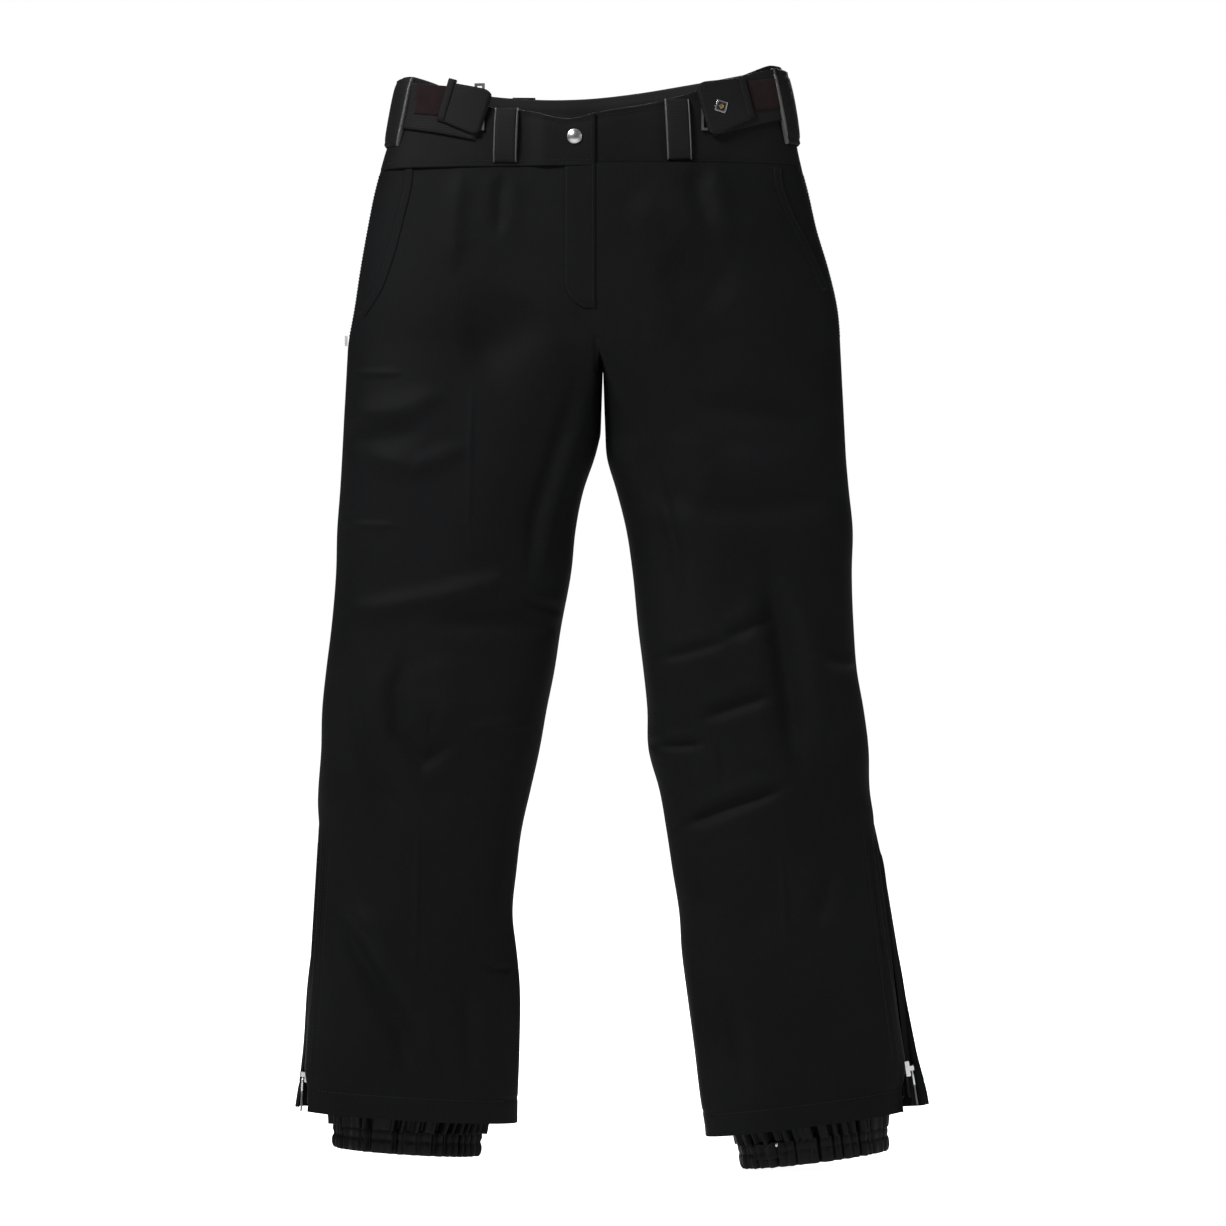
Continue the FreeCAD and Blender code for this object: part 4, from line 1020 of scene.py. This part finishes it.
# ---------------------------------------------------------------- snap
def lathe(name, base, normal, profile, material, turns=48):
    """A turned part standing on a surface: profile of (radius, height) in mm."""
    normal = np.array(normal) / np.linalg.norm(normal)
    side = np.cross(normal, (0, 0, 1))
    side /= np.linalg.norm(side)
    up = np.cross(side, normal)
    points, faces = [], []
    for radius, height in profile:
        for turn in np.linspace(0, 2 * np.pi, turns, endpoint=False):
            points.append(base + (normal * height + (side * np.cos(turn) + up * np.sin(turn)) * radius)
                          * MM)
    for ring in range(len(profile) - 1):
        for corner in range(turns):
            a, b = ring * turns + corner, ring * turns + (corner + 1) % turns
            faces.append((a, b, b + turns, a + turns))
    item = mesh_object(name, points, faces)
    even_normals(item)
    item.data.materials.append(material)
    return item


SNAP_AT = (-18, -42)
snap_spot, snap_normal = touch(band_surface, "front", *SNAP_AT)
snap_spot = snap_spot + snap_normal * 0.0002
dome = [(0.01, -1.0), (7.2, -1.0), (7.5, 0.3), (7.4, 1.0), (6.9, 1.35), (6.3, 1.3), (5.9, 1.5),
        (4.6, 2.2), (3.0, 2.7), (1.4, 2.95), (0.01, 3.0)]
snap_dome = lathe("snap_dome", snap_spot, snap_normal, dome, STEEL)
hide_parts("snap_cap")
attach(snap_dome, "waist_tab")


# ---------------------------------------------------------------- belt loops
def belt_loop(name, view, line, width, nodes):
    """A webbing loop with satin edges, sewn at its ends and standing off between them."""
    def bow(share):
        """Height of the loop over the band between its two sewn feet."""
        return 3.0 * math.sin(math.pi * ((share - 0.08) / 0.84)) ** 0.5 if 0.08 < share < 0.92 else 0.0

    half = width / 2
    webbing = overlay(f"{name}_webbing", view, line, half - 1.2, half - 1.2, 1.8, WEBBING, waist_form, 2.0,
                      lift_at=lambda share: bow(share) + 0.6)
    edges = []
    for side_of in (-1, 1):
        moved = [(x + side_of * (half - 0.8), z) for x, z in line]
        edges.append(overlay(f"{name}_edge", view, moved, 0.8, 0.8, 2.2, SATIN, waist_form, 2.0,
                             round_edge=0.5, lift_at=lambda share: bow(share) + 0.6))
    item = joined(name, [webbing] + edges)
    if nodes:
        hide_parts(*nodes)
    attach(item, "hips")


belt_loop("belt_loop_front_right", "front", [(-85, -13), (-87, -67)], 23,
          ["belt_loop_front_right", "loop_piping"])
belt_loop("belt_loop_front_left", "front", [(83, -4), (86, -65)], 24, ["belt_loop_front_left"])
belt_loop("belt_loop_side_right", "right_side", [(0, 20), (0, -48)], 42, ["belt_loop_side_right"])
belt_loop("belt_loop_side_left", "left_side", [(0, 29), (0, -46)], 42, ["belt_loop_side_left"])
belt_loop("belt_loop_back_right", "back", [(-70, 8), (-70, -66)], 23, ["belt_loops_back"])
belt_loop("belt_loop_back_left", "back", [(70, 14), (70, -66)], 23, [])


# ---------------------------------------------------------------- side adjusters
ADJUSTERS = {
    "right": {"base": [(-191, -7), (-150, -14), (-111, -22)], "half": 23.5,
              "end": [(-143, -7), (-105, -19)], "end_half": (20.0, 24.0), "patch": [(-176, -2), (-142, -6)],
              "tip": [(-138, 16), (-150, -26)]},
    "left": {"base": [(191, 5), (150, -6), (111, -17)], "half": 25.5, "end": [(152, -3), (108, -16)],
             "end_half": (21.0, 29.0), "patch": [(187, 5), (153, -1)], "tip": [(146, 18), (156, -23)]},
}
for side, shape in ADJUSTERS.items():
    sign = SIDES[side]
    base = overlay(f"strap_base_{side}", "front", shape["base"], shape["half"], shape["half"], 2.0, WEBBING,
                   waist_form, 2.5, lift_at=lambda share: 0.6)
    patch = overlay(f"strap_patch_{side}", "front", shape["patch"], 15.0, 15.0, 1.2, HOOKS, waist_form, 2.0,
                    round_edge=0.5, lift_at=lambda share: 2.6)
    near, far = shape["end_half"]

    def reach(share):
        """Half height of the free end, with its far corners rounded off."""
        corner = max(0.0, (share - 0.72) / 0.28)
        return (near + (far - near) * share) * (1 - 0.3 * (1 - math.sqrt(max(0.0, 1 - corner * corner))))

    end = overlay(f"strap_end_{side}", "front", shape["end"], reach, reach, 2.2, WEBBING,
                  waist_form, 2.0, lift_at=lambda share: 3.1 + 0.7 * math.sin(math.pi * share))
    tip = overlay(f"strap_tip_{side}", "front", shape["tip"], 3.5, 3.5, 1.4, WEBBING, waist_form, 2.0,
                  round_edge=0.6, lift_at=lambda share: 5.0)
    end = joined(f"strap_end_{side}", [end, tip])
    for item, node, slot in ((base, f"strap_base_{side}", "webbing"),
                             (patch, f"strap_patch_{side}", "loop_fastener")):
        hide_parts(node)
        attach(item, "hips")
    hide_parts(f"strap_end_{side}")
    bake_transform(end)


def plate(name, origin, across, upward, outline, low, high, material, bevel=0.25):
    """A flat part with an outline in mm, standing out of a surface, with its edges eased."""
    across, upward = np.array(across, dtype=float), np.array(upward, dtype=float)
    out = np.cross(across, upward)
    count = len(outline)
    points = [origin + (across * u + upward * v + out * level) * MM
              for level in (low, high) for u, v in outline]
    faces = [tuple(range(count))[::-1], tuple(range(count, 2 * count))]
    faces += [(i, (i + 1) % count, (i + 1) % count + count, i + count) for i in range(count)]
    item = mesh_object(name, points, faces, smooth=False)
    item.data.materials.append(material)
    ease_edges = item.modifiers.new("ease edges", "BEVEL")
    ease_edges.width = bevel * MM
    ease_edges.segments = 3
    settle(item)
    even_normals(item)
    return item


def rounded(half_width, half_height, corner, steps=6):
    """Outline of a rectangle with round corners."""
    outline = []
    for quarter_turn, (u, v) in enumerate(((1, 1), (-1, 1), (-1, -1), (1, -1))):
        for turn in np.linspace(quarter_turn * np.pi / 2, (quarter_turn + 1) * np.pi / 2, steps):
            outline.append((u * (half_width - corner) + corner * math.cos(turn),
                            v * (half_height - corner) + corner * math.sin(turn)))
    return outline


BADGE_AT = (126, -12)
BADGE_LIFT = 0.0060
BADGE_TURN = math.radians(17)
badge_spot, badge_normal = touch(waist_form, "front", *BADGE_AT)
badge_spot = badge_spot + badge_normal * BADGE_LIFT
badge_up = Vector((math.sin(BADGE_TURN), 0, math.cos(BADGE_TURN)))
badge_across = np.array(badge_up.cross(Vector(badge_normal))) * -1
badge_across /= np.linalg.norm(badge_across)
badge_upward = np.cross(badge_normal, badge_across)
frame_piece = plate("badge_frame", badge_spot, badge_across, badge_upward, rounded(5.6, 5.6, 1.1), -0.6,
                    0.8, STEEL)
centre_piece = plate("badge_centre", badge_spot, badge_across, badge_upward, rounded(4.2, 4.2, 0.8), 0.2,
                     1.1, ENAMEL)
lozenge = plate("badge_lozenge", badge_spot, badge_across, badge_upward,
                [(2.7, 0), (0, 2.7), (-2.7, 0), (0, -2.7)], 0.9, 1.6, GOLD)
badge = joined("badge_plate", [frame_piece, centre_piece, lozenge])
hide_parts("badge_plate")
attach(badge, "strap_end_left")


# ---------------------------------------------------------------- fly placket and pockets
PLACKET_HALF = 15.5


def j_curve(share):
    """Reach of the placket towards the wearer's right: straight, then rounded into the foot."""
    t = max(0.0, (share - 0.80) / 0.20)
    return -PLACKET_HALF + 2 * PLACKET_HALF * math.sqrt(max(0.0, 1 - t * t))


FLY_X = CENTRE_X - PLACKET_HALF
placket = overlay("fly_placket", "front", [(FLY_X, -68), (FLY_X, -214)], PLACKET_HALF, j_curve, 1.3, SHELL,
                  step=2.0, round_edge=1.2)
j_line = [(FLY_X - j_curve(share) + 2.0, -68 - 146 * share) for share in np.linspace(0, 0.985, 40)]
fly_threads = [stitches("fly_thread_outer", "front", j_line, THREAD, surface_of(placket)),
               stitches("fly_thread_edge", "front", [(CENTRE_X - 3, -70), (CENTRE_X - 3, -205)], THREAD,
                        surface_of(placket))]
placket = joined("fly_placket", [placket] + fly_threads)
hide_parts("fly_placket")
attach(placket, "hips")
for side, sign in SIDES.items():
    line = [spot for spot in POCKET_LINE[side] if spot[1] < SEAM_Z]
    line = [(line[0][0], SEAM_Z - 1)] + line
    welt = overlay(f"pocket_welt_{side}", "front", line, 4.5, 4.5, 1.1, SHELL, step=2.5,
                   round_edge=1.0)
    seam = stitches(f"pocket_thread_{side}", "front", [(x + sign * 2.4, z) for x, z in line], THREAD,
                    surface_of(welt))
    welt = joined(f"pocket_welt_{side}", [welt, seam])
    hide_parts(f"pocket_welt_{side}")
    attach(welt, "hips")


# ---------------------------------------------------------------- seams sewn over: seat, sides, hems
seat_threads = [stitches(f"seat_thread_{index}", "back",
                         [(CENTRE_X + shift, -72), (CENTRE_X + shift, -222)], THREAD)
                for index, shift in enumerate((-5.0, 5.0))]
seat_threads += [stitches(f"side_thread_{side}_{index}", f"{side}_side", [(shift, -76), (shift, -238)],
                          THREAD)
                 for side in SIDES for index, shift in enumerate((-4.5, 4.5))]
seat = joined("hip_seam_threads", seat_threads)
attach(seat, "hips")
for side, sign in SIDES.items():
    rows = []
    for view in ("front", "back"):
        inner = LEG_OUTLINE[side][-2][1] + 14
        outer = LEG_OUTLINE[side][-2][2] - 26
        line = []
        for reach in np.linspace(inner, outer, 14):
            share = (reach - LEG_OUTLINE[side][-1][1]) / (LEG_OUTLINE[side][-1][2]
                                                          - LEG_OUTLINE[side][-1][1])
            line.append((sign * reach, HEM[side][0] + (HEM[side][1] - HEM[side][0]) * share + HEM_FOLD
                         - 1.5))
        rows.append(stitches(f"hem_thread_{side}_{view}", view, line, THREAD))
    zip_reach = glide(ZIP_LINE[side], np.array([ZIP_TOP_Z - 12, -960.0]), 1)
    for shift in (7.0, 13.0):
        rows.append(stitches(f"zip_thread_{side}_{int(shift)}", "front",
                             [(sign * (zip_reach[0] - shift), ZIP_TOP_Z - 12),
                              (sign * (zip_reach[1] - shift), -960)],
                             THREAD))
    hem_threads = joined(f"hem_threads_{side}", rows)
    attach(hem_threads, f"shin_{side}")


# ---------------------------------------------------------------- leg zips
def strip_mesh(name, spine, across, out, half, bow, thickness, material):
    """A thin strip along a spine, bowed inward by some mm at its middle."""
    grid = []
    for place in spine:
        row = []
        for share in np.linspace(-1, 1, 9):
            row.append(place + across * half * share - out * bow * (1 - share * share))
        grid.append(row)
    return thick_grid(name, np.array(grid), thickness, material, levels=1)


def coil_teeth(name, spine, across, out, material, pitch=2.0, half=2.7, radius=0.75):
    """Zip coil: a row of small bent bars across the chain, meeting in a raised middle line."""
    line, _ = evenly(spine, pitch)
    points, faces = [], []
    for row, place in enumerate(line):
        for side_of in (-1, 1):
            shift = 0.5 * pitch * (side_of > 0)
            base = len(points)
            spine_down = line[min(row + 1, len(line) - 1)] - line[max(row - 1, 0)]
            spine_down = spine_down / np.linalg.norm(spine_down)
            for share, rise, thick in ((0.0, 0.9, 0.6), (0.25, 1.2, 1.0), (0.8, 0.7, 1.0), (1.0, 0.1, 0.6)):
                centre = place + spine_down * shift + across * side_of * half * share + out * rise
                for turn in np.linspace(0, 2 * np.pi, 6, endpoint=False):
                    points.append(centre + (spine_down * np.cos(turn) + out * np.sin(turn)) * radius
                                  * thick)
            for ring in range(3):
                for corner in range(6):
                    a, b = base + ring * 6 + corner, base + ring * 6 + (corner + 1) % 6
                    faces.append((a, b, b + 6, a + 6))
    item = quad_object(name, np.array(points) * MM, np.array(faces))
    item.data.materials.append(material)
    return item


def leg_zip(side, sign):
    """Tape, coil, gusset, pull and ribbon of one side-leg zip."""
    low, high = (np.array(corner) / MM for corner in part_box(f"leg_zip_chain_{side}"))
    head = np.array([(low[0] + 1.2) if sign > 0 else (high[0] - 1.2), 0.0, high[2]])
    foot = np.array([(high[0] - 2.8) if sign > 0 else (low[0] + 2.8), 0.0, low[2]])
    down = (foot - head) / np.linalg.norm(foot - head)
    across = np.array([0.0, 1.0, 0.0])
    out = np.cross(across, down) * sign
    out = out if out[0] * sign > 0 else -out
    spine, _ = evenly([head, foot], 12.0)
    tape = strip_mesh(f"leg_zip_tape_{side}", spine, across, out, 9.0, 0.0, 0.9, TAPE)
    teeth = coil_teeth(f"leg_zip_coil_{side}", [head + out * 0.6, foot + out * 0.6], across, out, COIL)
    chain = joined(f"leg_zip_chain_{side}", [tape, teeth])
    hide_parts(f"leg_zip_chain_{side}")
    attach(chain, f"shin_{side}")
    gusset = strip_mesh(f"leg_gusset_{side}", spine - out * 5.0, across, out, 18.0, 6.0, 1.3, NYLON)
    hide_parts(f"leg_gusset_{side}")
    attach(gusset, f"shin_{side}")
    low, high = (np.array(corner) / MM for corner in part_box(f"leg_zip_pull_{side}"))
    pin = np.array([(low[0] + 1.7) if sign > 0 else (high[0] - 1.7), 0.0, high[2] - 1.7])
    across_pull = np.array([0.0, sign * 1.0, 0.0])
    upward = -down
    outline = [(-1.9, 1.6), (1.9, 1.6), (2.0, -2.5), (3.9, -5.5), (4.0, -14), (3.2, -18.4),
               (1.6, -19.8), (-1.6, -19.8), (-3.2, -18.4), (-4.0, -14), (-3.9, -5.5), (-2.0, -2.5)]
    body = plate(f"pull_body_{side}", pin * MM, across_pull, upward, outline, -0.8, 0.8, STEEL)
    ribs = [plate(f"pull_rib_{side}_{index}", (pin - upward * (7.0 + 2.2 * index)) * MM, across_pull,
                  upward, rounded(2.9, 0.55, 0.5, 3), -1.2, 1.2, DARK_STEEL, 0.15) for index in range(5)]
    pull = joined(f"leg_zip_pull_{side}", [body] + ribs)
    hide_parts(f"leg_zip_pull_{side}")
    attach(pull, f"leg_pull_{side}")
    ribbon = plate(f"leg_zip_ribbon_{side}", (pin - upward * 27.0) * MM, across_pull, upward,
                   rounded(6.0, 10.0, 1.6), -0.6, 0.6, RIBBON, 0.3)
    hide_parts(f"leg_zip_ribbon_{side}")
    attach(ribbon, f"leg_pull_{side}")


for side, sign in SIDES.items():
    leg_zip(side, sign)


# ---------------------------------------------------------------- snow gaiters
GAITER_COLUMNS = 300
TUBE_ROWS = 26
CUFF_ROWS = 12
CUFF_HALF = 13.0          # half height of the elastic cuff
PLEAT_SEED = {"right": 8, "left": 5}


def pleats(turn, seed, low, high, count=9):
    """Uneven gathers round a ring, between about -1 and 1."""
    rng = np.random.default_rng(seed)
    total = np.zeros_like(turn)
    for number in rng.integers(low, high, size=count):
        total += np.sin(number * turn + rng.uniform(0, 2 * np.pi))
    return total / math.sqrt(count)


def gaiter(side, sign):
    """Gathered nylon tube sewn inside the leg, ending in an elastic cuff."""
    low, high = (np.array(corner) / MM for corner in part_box(f"gaiter_cuff_{side}"))
    cuff_middle = (low + high) / 2
    rise = (HEM[side][1] - HEM[side][0]) / (LEG_OUTLINE[side][-1][2] - LEG_OUTLINE[side][-1][1])
    lean = math.atan(rise)
    across = np.array([sign * math.cos(lean), 0.0, math.sin(lean)])
    down = np.array([sign * math.sin(lean), 0.0, -math.cos(lean)])
    half_width = (high[0] - low[0]) / 2 / math.cos(lean) - 1.0
    half_depth = (high[1] - low[1]) / 2
    low_top, high_top = (np.array(corner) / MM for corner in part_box(f"gaiter_tube_{side}"))
    turn = np.linspace(0, 2 * np.pi, GAITER_COLUMNS, endpoint=False)
    head = np.array([(cuff_middle - down * 140)[0], 0.0, high_top[2]])
    foot = cuff_middle - down * (CUFF_HALF - 3.0)
    head_width = min(head[0] - low_top[0], high_top[0] - head[0]) - 4.0
    tube = []
    for share in np.linspace(0, 1, TUBE_ROWS):
        middle = head + (foot - head) * share
        puff = 3.0 * math.sin(math.pi * share ** 3) + 1.0
        gather = (1.0 + 3.2 * share ** 3) * pleats(turn + 0.12 * math.sin(3 * share), PLEAT_SEED[side], 22,
                                                   60)
        width = head_width + (half_width - head_width) * share + puff + gather
        depth = high_top[1] - 4 + (half_depth - high_top[1] + 4) * share + puff * 0.6 + gather
        ring = middle + np.outer(np.cos(turn) * width, across) + np.outer(np.sin(turn) * depth, (0, 1, 0))
        tube.append(ring)
    tube_piece = thick_grid(f"gaiter_tube_{side}", np.array(tube), 1.2, NYLON, levels=1,
                            closed=True)
    cuff = []
    for share in np.linspace(0, 1, CUFF_ROWS):
        middle = cuff_middle + down * CUFF_HALF * (2 * share - 1)
        channel = math.exp(-((share - 0.42) / 0.07) ** 2) + math.exp(-((share - 0.97) / 0.06) ** 2)
        gather = (2.2 - 0.8 * channel) * pleats(turn, PLEAT_SEED[side], 22, 60)
        swell = 1.0 * math.sin(math.pi * share) ** 0.5 - 1.2 * channel + gather
        ring = middle + np.outer(np.cos(turn) * (half_width - 1 + swell), across)
        ring = ring + np.outer(np.sin(turn) * (half_depth - 1 + swell), (0, 1, 0))
        cuff.append(ring)
    cuff_piece = thick_grid(f"gaiter_cuff_{side}", np.array(cuff), 2.4, NYLON, levels=1, closed=True)
    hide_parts(f"gaiter_tube_{side}")
    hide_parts(f"gaiter_cuff_{side}")
    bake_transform(tube_piece)
    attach(cuff_piece, f"cuff_{side}")
    if sign > 0:
        cuff_surface = surface_of(cuff_piece)
        tab = overlay("gaiter_tab", "front", [(158, -1047), (187, -1043)], 11.0, 11.0, 1.6, NYLON,
                      cuff_surface, 2.0)
        spot, normal = touch(cuff_surface, "front", 183, -1041)
        stud = lathe("gaiter_tab_stud", spot + normal * 0.0016, normal,
                     [(0.01, -0.5), (2.4, -0.5), (2.5, 0.4), (1.8, 1.0), (0.01, 1.1)], STEEL, 24)
        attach(joined("gaiter_tab", [tab, stud]), f"cuff_{side}")
    for item in (tube_piece, cuff_piece):
        even_normals(item)


for side, sign in SIDES.items():
    gaiter(side, sign)


# ---------------------------------------------------------------- finishes of the frame's own parts
FRAME_FINISHES = {
    "snap_socket": STEEL, "snap_stud": STEEL, "fly_zip_slider": DARK_STEEL, "fly_zip_pull": DARK_STEEL,
    "fly_zip_tapes": TAPE, "fly_zip_chain": COIL, "fly_shield": LINING, "pocket_bag_right": LINING,
    "pocket_bag_left": LINING, "side_label": LABEL, "strap_ring_right": DARK_STEEL,
    "strap_ring_left": DARK_STEEL,
    "leg_zip_slider_right": STEEL, "leg_zip_slider_left": STEEL,
}
for node, material in FRAME_FINISHES.items():
    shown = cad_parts[node]
    shown.data.materials.clear()
    shown.data.materials.append(material)


# ---------------------------------------------------------------- floor, light and camera
def area_light(name, place, aim, width, height, power):
    """A soft box aimed at a place."""
    data = bpy.data.lights.new(name, "AREA")
    data.shape = "RECTANGLE"
    data.size = width
    data.size_y = height
    data.energy = power
    item = bpy.data.objects.new(name, data)
    item.location = place
    item.rotation_euler = (Vector(aim) - Vector(place)).to_track_quat("-Z", "Y").to_euler()
    bpy.context.scene.collection.objects.link(item)


floor_material = bpy.data.materials.new("studio floor")
floor_material.use_nodes = True
floor_shader = floor_material.node_tree.nodes["Principled BSDF"]
floor_shader.inputs["Base Color"].default_value = (0.9, 0.9, 0.9, 1)
floor_shader.inputs["Roughness"].default_value = 0.9
floor_shader.inputs["Specular IOR Level"].default_value = 0.1
floor_shader.inputs["Emission Color"].default_value = (1, 1, 1, 1)
FLOOR_GAP = 0.0015
FLOOR_RADIUS = 14
floor_z = CAD_BOX[0][2] - FLOOR_GAP
rim = [(FLOOR_RADIUS * math.cos(turn), FLOOR_RADIUS * math.sin(turn), floor_z)
       for turn in np.linspace(0, 2 * math.pi, 64, endpoint=False)]
floor = mesh_object("studio_floor", rim, [tuple(range(64))], smooth=False)
floor.data.materials.append(floor_material)

ROOM_LIGHT = 0.14
world = bpy.data.worlds.new("studio")
world.use_nodes = True
backdrop = world.node_tree.nodes["Background"]
backdrop.inputs["Color"].default_value = (1, 1, 1, 1)
light_path = world.node_tree.nodes.new("ShaderNodeLightPath")
brightness = world.node_tree.nodes.new("ShaderNodeMapRange")
brightness.inputs["To Min"].default_value = ROOM_LIGHT
brightness.inputs["To Max"].default_value = 1.0
world.node_tree.links.new(light_path.outputs["Is Camera Ray"], brightness.inputs["Value"])
world.node_tree.links.new(brightness.outputs[0], backdrop.inputs["Strength"])
bpy.context.scene.world = world
seen = floor_material.node_tree.nodes.new("ShaderNodeLightPath")
floor_glow = floor_material.node_tree.nodes.new("ShaderNodeMapRange")
floor_glow.inputs["To Min"].default_value = 0.16
floor_glow.inputs["To Max"].default_value = 0.97
floor_material.node_tree.links.new(seen.outputs["Is Camera Ray"], floor_glow.inputs["Value"])
floor_material.node_tree.links.new(floor_glow.outputs[0], floor_shader.inputs["Emission Strength"])
bpy.context.scene.view_settings.view_transform = "Standard"
area_light("key light", (-1.5, -1.5, 1.9), (0, 0, -0.55), 0.9, 0.6, 125)
area_light("side light", (2.6, -1.4, 0.6), (0, 0, -0.6), 0.8, 1.8, 22)
area_light("back light", (0.6, 2.6, 1.6), (0, 0, -0.5), 1.8, 1.4, 90)

camera_data = bpy.data.cameras.new("camera")
camera_data.sensor_width = 36.0
camera_data.lens = 123.3
camera = bpy.data.objects.new("camera", camera_data)
camera.location = (0.020, -4.2, -0.513)
camera.rotation_euler = (math.pi / 2, 0, 0)
bpy.context.scene.collection.objects.link(camera)
bpy.context.scene.camera = camera

bpy.context.view_layer.update()
